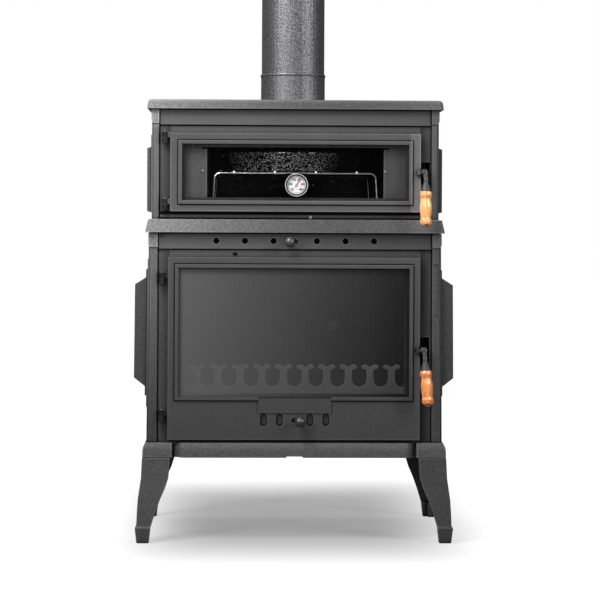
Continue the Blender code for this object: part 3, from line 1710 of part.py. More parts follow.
def build_thermometer():
    radius = THERMOMETER_RADIUS
    depth = THERMOMETER_DEPTH
    inner = radius - THERMOMETER_RIM
    edge = THERMOMETER_ROUND
    floor = THERMOMETER_BACK
    seat_y = oven.glass_face
    stem = oven.glass_back - seat_y + THERMOMETER_STEM_END
    place = (THERMOMETER_ACROSS, seat_y, thermometer_z)
    case = turned(
        "thermometer_case",
        [
            (0, floor),
            (inner, floor),
            (inner, depth),
            (radius - edge, depth),
            (radius, depth - edge),
            (radius, edge),
            (radius - edge, 0),
            (THERMOMETER_STEM_RADIUS, 0),
            (THERMOMETER_STEM_RADIUS, -stem),
            (0, -stem),
        ],
        place,
        32,
        facing="front",
    )
    finish(case, "bright steel", "oven_door")
    dial_back = floor + SEAT
    dial_front = dial_back + DIAL_THICKNESS
    needle_back = dial_front + NEEDLE_CLEARANCE
    needle_front = needle_back + NEEDLE_THICKNESS
    dial = turned(
        "thermometer_dial",
        [
            (0, needle_front + SPINDLE_END),
            (SPINDLE_RADIUS, needle_front + SPINDLE_END),
            (SPINDLE_RADIUS, dial_front),
            (inner - SEAT, dial_front),
            (inner - SEAT, dial_back),
            (0, dial_back),
        ],
        place,
        32,
        facing="front",
    )
    finish(dial, "dial", "oven_door")
    add_axis("thermometer_needle", place, "oven_door")
    hub = NEEDLE_HUB_RADIUS
    half = NEEDLE_WIDTH / 2
    outline = [(NEEDLE_POINT, NEEDLE_LENGTH)]
    outline += arc(0, 0, hub, 60, -60, 4)
    outline += [(half, -NEEDLE_TAIL), (-half, -NEEDLE_TAIL)]
    outline += arc(0, 0, hub, 240, 120, 4)
    outline.append((-NEEDLE_POINT, NEEDLE_LENGTH))
    turn = -math.radians(NEEDLE_REST_ANGLE)
    pointing = []
    for across, up in outline:
        pointing.append(
            (
                THERMOMETER_ACROSS + across * math.cos(turn) - up * math.sin(turn),
                thermometer_z + across * math.sin(turn) + up * math.cos(turn),
            )
        )
    spindle_hole = circle(THERMOMETER_ACROSS, thermometer_z, SPINDLE_RADIUS + RUNNING, 12)
    needle = plate(
        "thermometer_needle",
        [pointing, spindle_hole],
        seat_y - needle_front,
        seat_y - needle_back,
        "Y",
    )
    finish(needle, "needle red", "thermometer_needle")


def build_oven_inside():
    half = OVEN_INNER_WIDTH / 2
    floor = middle_top + OVEN_FLOOR_UP
    ceiling = oven_top - OVEN_CEILING_DROP
    back = back_front - OVEN_BACK_GAP - OVEN_SHEET
    sheet = OVEN_SHEET
    flange = sheet + OVEN_FLANGE
    box = cuboid(
        "oven_box",
        (-half - sheet, frame_back, floor - sheet),
        (half + sheet, back + sheet, ceiling + sheet),
    )
    rim = cuboid(
        "oven_box_flange",
        (-half - flange, frame_back, floor - flange),
        (half + flange, frame_back + sheet, ceiling + flange),
    )
    inside = cuboid(
        "oven_box_inside", (-half, -FRAME_THICKNESS, floor), (half, back, ceiling)
    )
    join(box, rim)
    cut(box, inside)
    finish(box, "sheet steel")

    top = floor + RACK_HEIGHT
    radius = RACK_WIRE_RADIUS
    foot = floor + SEAT
    edge = half - RACK_SIDE_GAP
    corner = RACK_CORNER
    front = frame_back + RACK_FROM_FRONT
    rear = back - RACK_BACK_GAP
    arch = [(edge + RACK_SPLAY, foot)]
    arch += arc(edge - corner, top - corner, corner, 0, 90, 4)
    arch += arc(-edge + corner, top - corner, corner, 90, 180, 4)
    arch.append((-edge - RACK_SPLAY, foot))
    rack = wire("oven_rack", [(x, front, z) for x, z in arch], radius)
    rear_arch = wire("rack_rear_arch", [(x, rear, z) for x, z in arch], radius)
    join(rack, rear_arch)
    for number in range(RACK_BARS):
        across = (number - (RACK_BARS - 1) / 2) * RACK_BAR_PITCH
        long_bar = bar(
            f"rack_bar_{number}",
            (across, front - radius, top + radius * 1.5),
            (across, rear + radius, top + radius * 1.5),
            radius,
            WIRE_SIDES,
        )
        join(rack, long_bar)
    finish(rack, "chrome wire")

    wall = PAN_WALL
    high = PAN_HEIGHT
    pan = turned(
        "baking_pan",
        [
            (0, wall),
            (PAN_BOTTOM_RADIUS - wall, wall),
            (PAN_TOP_RADIUS - wall, high),
            (PAN_TOP_RADIUS + PAN_RIM, high),
            (PAN_TOP_RADIUS + PAN_RIM, high - wall),
            (PAN_TOP_RADIUS, high - wall * 1.8),
            (PAN_BOTTOM_RADIUS + wall / 2, wall),
            (PAN_BOTTOM_RADIUS - wall, 0),
            (0, 0),
        ],
        (PAN_OFFSET, (frame_back + back) / 2, top + radius * 2.5 + SEAT),
        FINE,
    )
    finish(pan, "enamel")


def build_firebox_inside():
    half = liner_half
    outer = half + LINER_THICKNESS
    floor = base_top + SEAT
    top = firebox_top - LINER_TOP_GAP
    ledge = base_top + LEDGE_UP
    back = back_front - LINER_BACK_GAP
    face = back - LINER_THICKNESS
    rib_face = face - RIB_DEPTH
    rib_reach = half - LEDGE_DEPTH - RIB_WIDTH / 2 - SEAT
    ribs = int(2 * rib_reach / RIB_PITCH)
    comb = [(outer, back), (-outer, back), (-outer, face)]
    for number in range(ribs + 1):
        middle = (number - ribs / 2) * RIB_PITCH
        root = RIB_WIDTH / 2
        crest = root - RIB_TAPER
        comb += [
            (middle - root, face),
            (middle - crest, rib_face),
            (middle + crest, rib_face),
            (middle + root, face),
        ]
    comb.append((outer, face))
    liner = plate("firebox_liner_back", [comb], floor, top, "Z")
    finish(liner, "cast iron")

    for side, hand in ((-1, "left"), (1, "right")):
        section = [
            (outer, floor),
            (outer, top),
            (half, top),
            (half, ledge),
            (half - LEDGE_DEPTH, ledge),
            (half - LEDGE_DEPTH, ledge - LINER_THICKNESS / 2),
            (half, ledge - LINER_THICKNESS / 2 - LEDGE_DEPTH),
            (half, floor),
        ]
        section = [(side * x, z) for x, z in section]
        liner = plate(
            f"firebox_liner_{hand}", [section], LINER_FRONT, face - SEAT, "Y"
        )
        finish(liner, "cast iron")

    grate_bottom = ledge + SEAT
    grate_top = grate_bottom + GRATE_THICKNESS
    grate_back = rib_face - SEAT
    grate_half = half - SEAT
    outlines = [rectangle(-grate_half, grate_half, GRATE_FRONT, grate_back)]
    slots = round(2 * grate_half / (GRATE_SLOT_WIDTH + GRATE_BAR)) - 1
    pitch = 2 * grate_half / (slots + 1)
    slot_length = (grate_back - GRATE_FRONT - 3 * GRATE_BAR) / 2
    for row in (-1, 1):
        middle = (GRATE_FRONT + grate_back + row * (slot_length + GRATE_BAR)) / 2
        for number in range(slots):
            across = (number - (slots - 1) / 2) * pitch
            outlines.append(
                slot(
                    across - GRATE_SLOT_WIDTH / 2,
                    across + GRATE_SLOT_WIDTH / 2,
                    middle - slot_length / 2,
                    middle + slot_length / 2,
                    2,
                )
            )
    grate = plate("fire_grate", outlines, grate_bottom, grate_top, "Z")
    finish(grate, "cast iron")

    pan_front = ASH_PAN_FRONT
    pan_back = rib_face - ASH_PAN_BACK_GAP
    pan_half = half - LEDGE_DEPTH - ASH_PAN_SIDE_GAP
    pan_top = floor + ASH_PAN_HEIGHT
    wall = ASH_PAN_WALL
    pan = cuboid(
        "ash_pan", (-pan_half, pan_front, floor), (pan_half, pan_back, pan_top)
    )
    lip_top = pan_top - ASH_LIP_DROP
    lip = cuboid(
        "ash_pan_lip",
        (-ASH_LIP_HALF, frame_back + wall, lip_top - ASH_LIP_THICKNESS),
        (ASH_LIP_HALF, pan_front + wall / 2, lip_top),
    )
    inside = cuboid(
        "ash_pan_inside",
        (-pan_half + wall, pan_front + wall, floor + wall),
        (pan_half - wall, pan_back - wall, pan_top + ASH_PAN_HEIGHT),
    )
    join(pan, lip)
    cut(pan, inside)
    finish(pan, "sheet steel")
    build_log_guard(grate_top + SEAT)


# Each upright of the guard is a neck under a two-lobed head; the gaps between are round-bottomed
def build_log_guard(bottom):
    top = bottom + GUARD_HEIGHT
    gap_bottom = bottom + GUARD_BAND
    gap = GUARD_GAP_WIDTH / 2
    head = GUARD_HEAD_WIDTH / 2
    head_low = top - GUARD_HEAD_HEIGHT
    half = liner_half - GUARD_SIDE_GAP
    pitch = 2 * (half - GUARD_END - head) / (GUARD_UPRIGHTS - 1)
    neck = pitch / 2 - gap
    edge = GUARD_HEAD_ROUND
    lobes = [
        (neck, head_low - edge * 1.4),
        (neck + edge * 0.6, head_low - edge / 3),
        (head - edge * 0.8, head_low),
        (head, head_low + edge * 0.8),
        (head - edge / 3, top - edge * 0.7),
        (head * 0.62, top),
        (head * 0.35, top - edge / 2),
        (0, top - edge * 1.6),
    ]
    lobes += [(-x, z) for x, z in reversed(lobes[:-1])]
    outline = [(-half, bottom), (half, bottom), (half, gap_bottom)]
    for number in reversed(range(GUARD_UPRIGHTS)):
        middle = (number - (GUARD_UPRIGHTS - 1) / 2) * pitch
        if number == GUARD_UPRIGHTS - 1:
            outline += arc(middle + pitch / 2, gap_bottom + gap, gap, -110, -180, 4)
        outline += [(middle + x, z) for x, z in lobes]
        if number:
            outline += arc(middle - pitch / 2, gap_bottom + gap, gap, 0, -180, 6)
        else:
            outline += arc(middle - pitch / 2, gap_bottom + gap, gap, 0, -70, 4)
    outline.append((-half, gap_bottom))
    front = GRATE_FRONT + GUARD_SET_IN
    guard = plate("log_guard", [outline], front, front + GUARD_THICKNESS, "Y")
    finish(guard, "cast iron")


add_axis("stove", (0, 0, 0))
build_base()
for end, place in ((-1, "front"), (1, "rear")):
    for side, hand in ((-1, "left"), (1, "right")):
        build_leg(f"leg_{place}_{hand}", side, end)
build_sides()
build_backs()
build_frames()
build_plates()
build_primary_air()
build_secondary_air()
build_door(oven, [], [])
build_thermometer()
build_oven_inside()
build_firebox_inside()
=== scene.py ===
import json
import math

import bmesh
import bpy
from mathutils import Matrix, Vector

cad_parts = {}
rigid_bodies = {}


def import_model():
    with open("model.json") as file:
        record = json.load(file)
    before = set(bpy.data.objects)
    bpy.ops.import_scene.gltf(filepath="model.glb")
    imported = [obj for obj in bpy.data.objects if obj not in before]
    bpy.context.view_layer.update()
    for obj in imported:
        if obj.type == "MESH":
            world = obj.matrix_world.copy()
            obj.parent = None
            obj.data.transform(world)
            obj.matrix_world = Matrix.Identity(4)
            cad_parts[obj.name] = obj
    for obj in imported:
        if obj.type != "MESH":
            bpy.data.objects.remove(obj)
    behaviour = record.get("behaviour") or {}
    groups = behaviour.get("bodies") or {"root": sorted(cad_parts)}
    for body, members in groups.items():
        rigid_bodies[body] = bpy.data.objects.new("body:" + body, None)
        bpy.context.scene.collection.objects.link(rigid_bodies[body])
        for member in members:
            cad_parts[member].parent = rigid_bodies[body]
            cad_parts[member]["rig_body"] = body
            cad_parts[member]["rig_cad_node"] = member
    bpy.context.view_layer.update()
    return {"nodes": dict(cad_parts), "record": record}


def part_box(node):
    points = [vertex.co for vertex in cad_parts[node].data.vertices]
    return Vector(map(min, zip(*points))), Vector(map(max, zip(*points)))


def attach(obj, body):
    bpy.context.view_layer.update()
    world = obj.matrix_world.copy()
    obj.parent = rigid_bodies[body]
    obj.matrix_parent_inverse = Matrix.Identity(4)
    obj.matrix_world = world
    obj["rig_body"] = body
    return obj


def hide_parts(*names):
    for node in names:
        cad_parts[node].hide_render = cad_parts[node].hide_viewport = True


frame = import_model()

nodes = frame["nodes"]
bodyOf = {}
for bodyName, members in frame["record"]["behaviour"]["bodies"].items():
    for member in members:
        bodyOf[member] = bodyName
slotOf = {entry["node"]: entry["material_slot"] for entry in frame["record"]["subparts"]}
print("frame loaded,", len(nodes), "nodes")


# Camera, set to the photograph's viewing angle

view = {
    "place": (-0.115, -4.683, 0.724),
    "pitchDown": 0.3,
    "yawRight": 1.593,
    "roll": -0.27,
    "lens": 120.0,
    "sensor": 36.0,
    "shiftUp": -0.1142,
}

cameraData = bpy.data.cameras.new("camera")
cameraData.lens = view["lens"]
cameraData.sensor_width = view["sensor"]
cameraData.shift_y = view["shiftUp"]
camera = bpy.data.objects.new("camera", cameraData)
camera.location = view["place"]
camera.rotation_euler = (
    math.radians(90 - view["pitchDown"]),
    math.radians(view["roll"]),
    math.radians(-view["yawRight"]),
)
bpy.context.scene.collection.objects.link(camera)
bpy.context.scene.camera = camera
bpy.context.scene.view_settings.view_transform = "Standard"
print("camera set")


# Shader maths written as expressions

class Field:
    # One value over the surface, which takes part in sums like a number
    def __init__(self, look, socket):
        self.look = look
        self.socket = socket

    def maths(self, operation, first, second=None, clamped=False):
        settings = {"operation": operation, "use_clamp": clamped}
        return self.look.node("ShaderNodeMath", settings, [first, second])

    def __add__(self, other):
        return self.maths("ADD", self, other)

    def __sub__(self, other):
        return self.maths("SUBTRACT", self, other)

    def __mul__(self, other):
        return self.maths("MULTIPLY", self, other)

    def __truediv__(self, other):
        return self.maths("DIVIDE", self, other)

    def __pow__(self, other):
        return self.maths("POWER", self, other)

    def __rsub__(self, other):
        return self.maths("SUBTRACT", other, self)

    def __rtruediv__(self, other):
        return self.maths("DIVIDE", other, self)

    __radd__ = __add__
    __rmul__ = __mul__

    # 0 below the level, 1 above it, with a soft step between
    def above(self, level, softness):
        return self.maths("ADD", (self - level) / softness, 0.5, True)

    def below(self, level, softness):
        return 1 - self.above(level, softness)

    # 1 between two levels, 0 outside them
    def within(self, low, high, softness=0.0006):
        return self.above(low, softness) * self.below(high, softness)

    def size(self):
        return self.maths("ABSOLUTE", self)

    def atLeast(self, other):
        return self.maths("MAXIMUM", self, other)

    # Part this field and part another one
    def mixedWith(self, other, share):
        return self * share + other * (1 - share)


class Look:
    # A finish: a material whose shader takes fixed values and fields
    def __init__(self, name, **fixed):
        self.material = bpy.data.materials.new(name)
        self.material.use_nodes = True
        self.tree = self.material.node_tree
        self.shader = self.tree.nodes["Principled BSDF"]
        self.set(**fixed)
        self.place = self.node("ShaderNodeTexCoord", output="Object")

    def feed(self, slot, value):
        if isinstance(value, Field):
            self.tree.links.new(value.socket, slot)
        elif value is not None:
            slot.default_value = value

    # baseColor goes to the socket Base Color, specularIorLevel to Specular IOR Level
    def set(self, **values):
        for key, value in values.items():
            words = "".join(" " + c if c.isupper() else c for c in key)
            self.feed(self.shader.inputs[words.title().replace("Ior", "IOR")], value)

    # Any node: its settings, what goes into its sockets, and the output to use
    def node(self, kind, settings=None, inputs=None, output=0):
        made = self.tree.nodes.new(kind)
        for key, value in (settings or {}).items():
            setattr(made, key, value)
        named = inputs or {}
        if isinstance(named, list):
            named = dict(enumerate(named))
        for key, value in named.items():
            self.feed(made.inputs[key], value)
        return Field(self, made.outputs[output])

    def stretched(self, stretch):
        return self.node("ShaderNodeMapping", None, {"Vector": self.place, "Scale": stretch})

    def noise(self, scale, detail, roughness=0.5, stretch=None):
        place = self.stretched(stretch) if stretch else self.place
        inputs = {"Vector": place, "Scale": scale, "Detail": detail, "Roughness": roughness}
        return self.node("ShaderNodeTexNoise", None, inputs)

    def specks(self, scale, size, softness):
        inputs = {"Vector": self.place, "Scale": scale}
        gap = self.node("ShaderNodeTexVoronoi", {"feature": "F1"}, inputs)
        return gap.below(size, softness)

    # 1 in the open, less in corners and beside other pieces
    def openness(self, reach, inside=False):
        settings = {"samples": 8, "inside": inside, "only_local": inside}
        inputs = {"Distance": reach}
        return self.node("ShaderNodeAmbientOcclusion", settings, inputs, output="AO")

    # 0 on open faces, up to about 0.5 beside an outer edge of the piece itself
    def edges(self, reach):
        return 1 - self.openness(reach, inside=True)

    def axis(self, letter):
        return self.node("ShaderNodeSeparateXYZ", None, [self.place], output=letter)

    # 1 on what lies inside a rectangle seen from the front: left, right, bottom, top
    def pane(self, left, right, bottom, top):
        return self.axis("X").within(left, right) * self.axis("Z").within(bottom, top)

    # 1 along a narrow strip that runs round such a rectangle
    def outline(self, left, right, bottom, top, width):
        outer = self.pane(left - width, right + width, bottom - width, top + width)
        return outer * (1 - self.pane(left, right, bottom, top))

    # A colour made brighter or darker by a field
    def scaledBy(self, colour, factor):
        inputs = {0: colour, "Scale": factor}
        return self.node("ShaderNodeVectorMath", {"operation": "SCALE"}, inputs)

    # A colour between two others: the first one where the share is 0
    def between(self, share, low, high):
        inputs = {0: share}
        for slot, colour in ((6, low), (7, high)):
            inputs[slot] = colour if isinstance(colour, Field) else (*colour, 1.0)
        return self.node("ShaderNodeMix", {"data_type": "RGBA"}, inputs, output=2)

    def relief(self, height, strength, depth):
        inputs = {"Strength": strength, "Distance": depth, "Height": height}
        self.set(normal=self.node("ShaderNodeBump", None, inputs))


def scaled(tone, factor):
    return [min(1.0, channel * factor) for channel in tone]


# Finishes. A noise is given as its scale, detail, roughness and stretch;
# a step as the level in its middle and its softness.

iron = {
    "tone": (0.071, 0.0695, 0.070),
    "baseTone": (0.110, 0.108, 0.110),
    "shieldTone": (0.068, 0.067, 0.068),
    "plateTone": (0.118, 0.116, 0.118),
    "guardTone": (0.60, 0.60, 0.605),
    "linerTone": (0.068, 0.067, 0.068),
    "backTone": (0.050, 0.050, 0.050),
    "leverTone": (0.044, 0.044, 0.045),
    "knobTone": (0.058, 0.058, 0.060),
    "grain": (420, 3),
    "pits": (950, 2),
    "patches": (11, 4),
    "grainShare": 0.6,
    "coarse": (260, 3, 0.7),
    "coarseStep": (0.5, 0.4),
    "fineMottle": (0.70, 1.25),
    "sideMottle": (0.60, 1.35),
    "plateMottle": (0.55, 1.45),
    "leverMottle": (0.50, 1.50),
    "lowShadeStep": (0.575, 0.65),
    "lowShadeDarkest": 0.50,
    "sparks": (714, 1),
    "sparkStep": (0.66, 0.08),
    "sparkTone": 2.4,
    "wearReach": 0.0040,
    "wearStep": (0.24, 0.26),
    "wearLeast": 0.4,
    "wearPatches": 1.2,
    "wearTone": 3.6,
    "cornerShadeReach": 0.016,
    "cornerShadeStep": (0.62, 0.80),
    "cornerShadeDepth": 0.8,
    "seamShadeReach": 0.0060,
    "seamShadeStep": (0.74, 0.32),
    "seamShadeDepth": 0.97,
    "paintedShadeTone": 0.06,
    "metallic": 0.1,
    "seamShadeMetallic": 0.85,
    "roughening": 0.22,
    "reliefDepth": 0.0012,
}


# Cast iron, with painted shade that makes it darker low down and in corners, seams and
# recesses; it is rubbed bright along its edges.
# mottled: how dark and how bright a coarse mottle gets; without it the mottle is fine.
# tilt: painted light, given as the brightness in the middle, its change to the right and
# upward, and the middle's height.
# bowl: painted light, how much brighter it gets towards both sides.
# marks, lit: functions that give the piece's painted shade along its seams and in its recesses,
# and its painted light, as fields.
def castIron(name, tone, speckle=0.5, relief=0.35, rough=0.50, wear=0.8, gloss=0.3,
             mottled=None, tilt=None, bowl=0.0, shadeMarks=None, lit=None):
    look = Look(name, specularIorLevel=gloss)
    grain = look.noise(*iron["grain"])
    pits = look.noise(*iron["pits"])
    patches = look.noise(*iron["patches"])
    if mottled:
        mottle = look.noise(*iron["coarse"]).above(*iron["coarseStep"])
        darkest, brightest = mottled
    else:
        mottle = grain.mixedWith(patches, iron["grainShare"])
        darkest, brightest = iron["fineMottle"]
    cold = look.between(mottle, scaled(tone, darkest), scaled(tone, brightest))
    # Painted shade: darker low down, as if lit from above; cold is the iron higher up
    shadedLow = scaled(tone, iron["lowShadeDarkest"])
    shadedLow = look.between(mottle, scaled(shadedLow, darkest), scaled(shadedLow, brightest))
    colour = look.between(look.axis("Z").above(*iron["lowShadeStep"]), shadedLow, cold)
    sparks = look.noise(*iron["sparks"]).above(*iron["sparkStep"]) * speckle
    colour = look.between(sparks, colour, scaled(tone, iron["sparkTone"]))
    rubbed = look.edges(iron["wearReach"]).above(*iron["wearStep"])
    rubbed = rubbed * (iron["wearLeast"] + iron["wearPatches"] * patches) * wear
    colour = look.between(rubbed, colour, scaled(tone, iron["wearTone"]))
    # Painted light: brighter or darker across and up the piece, and towards its ends
    if tilt:
        level, across, upward, middle = tilt
        side = look.axis("X")
        factor = side * across + (look.axis("Z") - middle) * upward + level
        colour = look.scaledBy(colour, factor + side * side * bowl)
    # Painted light on the areas that lit gives
    if lit:
        colour = look.scaledBy(colour, 1 + lit(look))
    # Painted shade: darker in corners and near other pieces, and black along the seams and
    # lines of shade that marks gives
    cornerShade = look.openness(iron["cornerShadeReach"]).below(*iron["cornerShadeStep"]) * iron["cornerShadeDepth"]
    seamShade = look.openness(iron["seamShadeReach"]).below(*iron["seamShadeStep"])
    if shadeMarks:
        seamShade = seamShade.atLeast(shadeMarks(look))
    blackening = cornerShade.atLeast(seamShade * iron["seamShadeDepth"])
    look.set(baseColor=look.between(blackening, colour, scaled(tone, iron["paintedShadeTone"])))
    # Painted shade: metallic where it is black, so that it shows no sheen there
    look.set(metallic=seamShade * iron["seamShadeMetallic"] + iron["metallic"])
    look.set(roughness=rough + iron["roughening"] * pits)
    look.relief(grain.mixedWith(pits, iron["grainShare"]), relief, iron["reliefDepth"])
    return look.material


# Painted light: the plates are brightest at their ends, most of all at the left one
def plateIron(name, tone):
    return castIron(name, tone, speckle=0.7, relief=0.6, wear=0.15,
                    mottled=iron["plateMottle"], tilt=(0.59, -1.18, 0.0, 0.0), bowl=5.6)


# Where the fronts have their seams, and where shade and light are painted on them.
# Widths are measured from the middle, and the friezes from the top of the door.
fronts = {
    "thickness": 0.010,
    "fireDoor": 0.284,
    "fireFrieze": 0.017,
    "ovenDoor": 0.282,
    "ovenFrieze": 0.0149,
    "corner": 0.0012,
    "seam": 0.0022,
    "groove": 0.0019,
    "overlap": 0.0005,
    "soft": 0.001,
    "sharp": 0.0006,
    "stripFade": 0.75,
    "stripShade": 0.66,
    "ear": -0.2872,
    "earDepth": 0.012,
    "earShade": 0.80,
    "sillSoftness": 0.0008,
    "lip": (0.7315, 0.7365, 0.0028),
    "lipShown": 0.8,
    "overMouth": (0.885, 0.92),
    "overMouthSide": 0.212,
    "besideMouth": (0.196, 0.262),
    "besideMouthHeight": (0.768, 0.898),
    "besideMouthLight": 1.9,
}
doors = {
    "fireWindow": (-0.2615, 0.2575, 0.3285, 0.6170),
    "ovenWindow": (-0.2550, 0.2550, 0.7700, 0.8957),
    "bead": 0.009,
    "plaque": 0.0825,
    "lug": 0.268,
    "lugDepth": 0.0185,
    "lugShade": 0.55,
    "stile": (0.2590, 0.002),
    "stileLight": 0.6,
}
capitals = {
    "oven": (0.937, 0.012),
    "ovenLight": 0.9,
    "fire": (0.664, 0.700, 0.006),
    "fireLight": 0.6,
}

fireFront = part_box("firebox_front")
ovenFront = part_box("oven_front")
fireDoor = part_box("fire_door_frame")
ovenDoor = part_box("oven_door_frame")
frontFace = ovenFront[1][1] - fronts["thickness"]


# The hinge knuckles and the doors' ears are painted dark
def knuckles(look):
    beside = look.axis("X").below(fronts["ear"], fronts["soft"])
    forward = look.axis("Y").below(frontFace - fronts["earDepth"], fronts["soft"])
    return beside * forward * fronts["earShade"]


# Painted shade on the strips beside the door, darkest next to it, and painted shadow lines in
# the groove under the frieze, along the seam under the plate and down both corners
def frontShade(look, box, door, frieze):
    up = look.axis("Z")
    side = look.axis("X").size()
    corner = box[1][0] - fronts["corner"]
    strips = side.above(door - fronts["overlap"], fronts["soft"])
    strips = strips * up.below(frieze - fronts["overlap"], fronts["soft"])
    fading = 1 - (side - door) / (corner - door) * fronts["stripFade"]
    shadeMarks = strips * fading * fronts["stripShade"]
    shadeMarks = shadeMarks.atLeast(up.within(frieze, frieze + fronts["groove"]))
    shadeMarks = shadeMarks.atLeast(up.above(box[1][2] - fronts["seam"], fronts["sharp"]))
    shadeMarks = shadeMarks.atLeast(side.above(corner, fronts["sharp"]))
    return shadeMarks.atLeast(knuckles(look))


def fireFrontShade(look):
    frieze = fireDoor[1][2] + fronts["fireFrieze"]
    return frontShade(look, fireFront, fronts["fireDoor"], frieze)


# Painted shade: the oven's front is black below its door, but for the sill's lip, and over its
# mouth
def ovenFrontShade(look):
    up = look.axis("Z")
    frieze = ovenDoor[1][2] + fronts["ovenFrieze"]
    shadeMarks = frontShade(look, ovenFront, fronts["ovenDoor"], frieze)
    lip = up.within(*fronts["lip"]) * fronts["lipShown"]
    shadeMarks = shadeMarks.atLeast(up.below(ovenDoor[0][2], fronts["sillSoftness"]) * (1 - lip))
    middle = look.axis("X").size().below(fronts["overMouthSide"], fronts["soft"])
    return shadeMarks.atLeast(up.within(*fronts["overMouth"]) * middle)


# Painted light on the strips on both sides of the oven's mouth
def ovenFrontLit(look):
    side = look.axis("X").size().within(*fronts["besideMouth"])
    high = look.axis("Z").within(*fronts["besideMouthHeight"])
    return side * high * fronts["besideMouthLight"]


# Painted shade on the window's inner edge, along the foot of its bead and on the lug that holds
# the handle
def doorShade(look, window):
    left, right, bottom, top = window
    over = fronts["overlap"]
    bead = doors["bead"]
    pane = look.pane(left - over, right + over, bottom - over, top + over)
    foot = look.outline(left - bead, right + bead, bottom - bead, top + bead, fronts["seam"])
    lug = look.axis("X").above(doors["lug"], fronts["soft"])
    lug = lug * look.axis("Y").below(frontFace - doors["lugDepth"], fronts["sharp"])
    return pane, foot, (lug * doors["lugShade"]).atLeast(knuckles(look))


# The raised panel hides the bead's foot in the middle of the window's lower side, so the
# painted shadow line is left off there
def fireDoorShade(look):
    pane, foot, ends = doorShade(look, doors["fireWindow"])
    bare = look.axis("X").size().above(doors["plaque"], fronts["soft"])
    bare = bare.atLeast(look.axis("Z").above(doors["fireWindow"][2], fronts["soft"]))
    return pane.atLeast(foot * bare).atLeast(ends)


def ovenDoorShade(look):
    pane, foot, ends = doorShade(look, doors["ovenWindow"])
    return pane.atLeast(foot).atLeast(ends)


# Painted light on the oven door's right stile
def ovenDoorLit(look):
    return look.axis("X").above(*doors["stile"]) * doors["stileLight"]


# Painted light on the capitals of the side castings, which stand out from their columns
def capitalLit(look):
    up = look.axis("Z")
    oven = up.above(*capitals["oven"]) * capitals["ovenLight"]
    return oven + up.within(*capitals["fire"]) * capitals["fireLight"]


# Painted shade on what reaches through a slot to behind the front
def leverShade(look):
    return look.axis("Y").above(frontFace + fronts["overlap"], fronts["soft"])


flue = {
    "tone": (0.095, 0.095, 0.099),
    "dark": 0.35,
    "bright": 2.4,
    "metallic": 0.8,
    "coarse": (330, 2),
    "coarseStep": (0.50, 0.34),
    "coarseShare": 0.7,
    "fine": (858, 2),
    "stains": (14, 4, 0.5, (1, 1, 0.5)),
    "stainStep": (0.62, 0.3),
    "stainDepth": 0.35,
    "roughness": 0.36,
    "roughening": 0.14,
    "fineRelief": 0.4,
    "relief": 0.7,
    "reliefDepth": 0.0009,
}


def flueSteel(name):
    look = Look(name, metallic=flue["metallic"])
    coarse = look.noise(*flue["coarse"])
    fine = look.noise(*flue["fine"])
    stains = look.noise(*flue["stains"]).above(*flue["stainStep"]) * flue["stainDepth"]
    hammered = coarse.above(*flue["coarseStep"]).mixedWith(fine, flue["coarseShare"])
    dark = scaled(flue["tone"], flue["dark"])
    bright = scaled(flue["tone"], flue["bright"])
    colour = look.between(hammered, dark, bright)
    look.set(baseColor=look.between(stains, colour, flue["tone"]))
    look.set(roughness=flue["roughness"] + flue["roughening"] * fine)
    look.relief(coarse + flue["fineRelief"] * fine, flue["relief"], flue["reliefDepth"])
    return look.material


metal = {
    "scratches": (600, 3),
    "patches": (25, 3),
    "scratchShare": 0.6,
    "dark": 0.75,
    "smoothest": 0.8,
    "roughening": 0.5,
    "relief": 0.12,
    "reliefDepth": 0.0004,
}


def plainMetal(name, tone, roughness, metallic):
    look = Look(name, metallic=metallic)
    scratches = look.noise(*metal["scratches"])
    patches = look.noise(*metal["patches"])
    share = scratches.mixedWith(patches, metal["scratchShare"])
    look.set(baseColor=look.between(share, scaled(tone, metal["dark"]), tone))
    smoothest = roughness * metal["smoothest"]
    look.set(roughness=smoothest + roughness * metal["roughening"] * scratches)
    look.relief(scratches, metal["relief"], metal["reliefDepth"])
    return look.material


blackening = {
    "gloss": 0.04,
    "bloom": (18, 4),
    "dust": (260, 2),
    "bloomShare": 0.7,
    "dark": (0.0012, 0.0012, 0.0013),
    "pale": (0.004, 0.004, 0.004),
    "roughness": 0.65,
    "roughening": 0.2,
}


def sootySteel(name):
    look = Look(name, specularIorLevel=blackening["gloss"])
    bloom = look.noise(*blackening["bloom"])
    dust = look.noise(*blackening["dust"])
    share = bloom.mixedWith(dust, blackening["bloomShare"])
    look.set(baseColor=look.between(share, blackening["dark"], blackening["pale"]))
    look.set(roughness=blackening["roughness"] + blackening["roughening"] * dust)
    return look.material


# The fire glass is smoked, and a painted reflection makes it pale on the left and dark on the
# right
glass = {
    "fireRoughness": 0.05,
    "fireGloss": 0.2,
    "fireLeft": (0.125, 0.124, 0.126),
    "fireRight": (0.018, 0.018, 0.019),
    "fireSmear": (6, 3, 0.5, (1, 1, 0.4)),
    "slantAcross": 0.92,
    "slantUp": -0.12,
    "slantSmear": 0.10,
    "slantStep": (0.42, 0.95),
    "hazeAndReflectionLeft": 0.60,
    "hazeAndReflectionRight": 0.40,
    "hazeSmear": 0.06,
    "ovenRoughness": 0.03,
    "ovenGloss": 0.04,
    "ovenDark": (0.006, 0.006, 0.007),
    "ovenPale": (0.012, 0.012, 0.013),
    "ovenSmear": (9, 3),
    "ovenHaze": 0.02,
    "ovenHazeSmear": 0.05,
    "lensRoughness": 0.02,
    "lensGloss": 0.06,
    "lensDark": (0.85, 0.87, 0.88),
    "lensPale": (0.95, 0.95, 0.95),
    "lensDust": (60, 2),
    "lensHaze": 0.004,
    "lensHazeDust": 0.008,
}


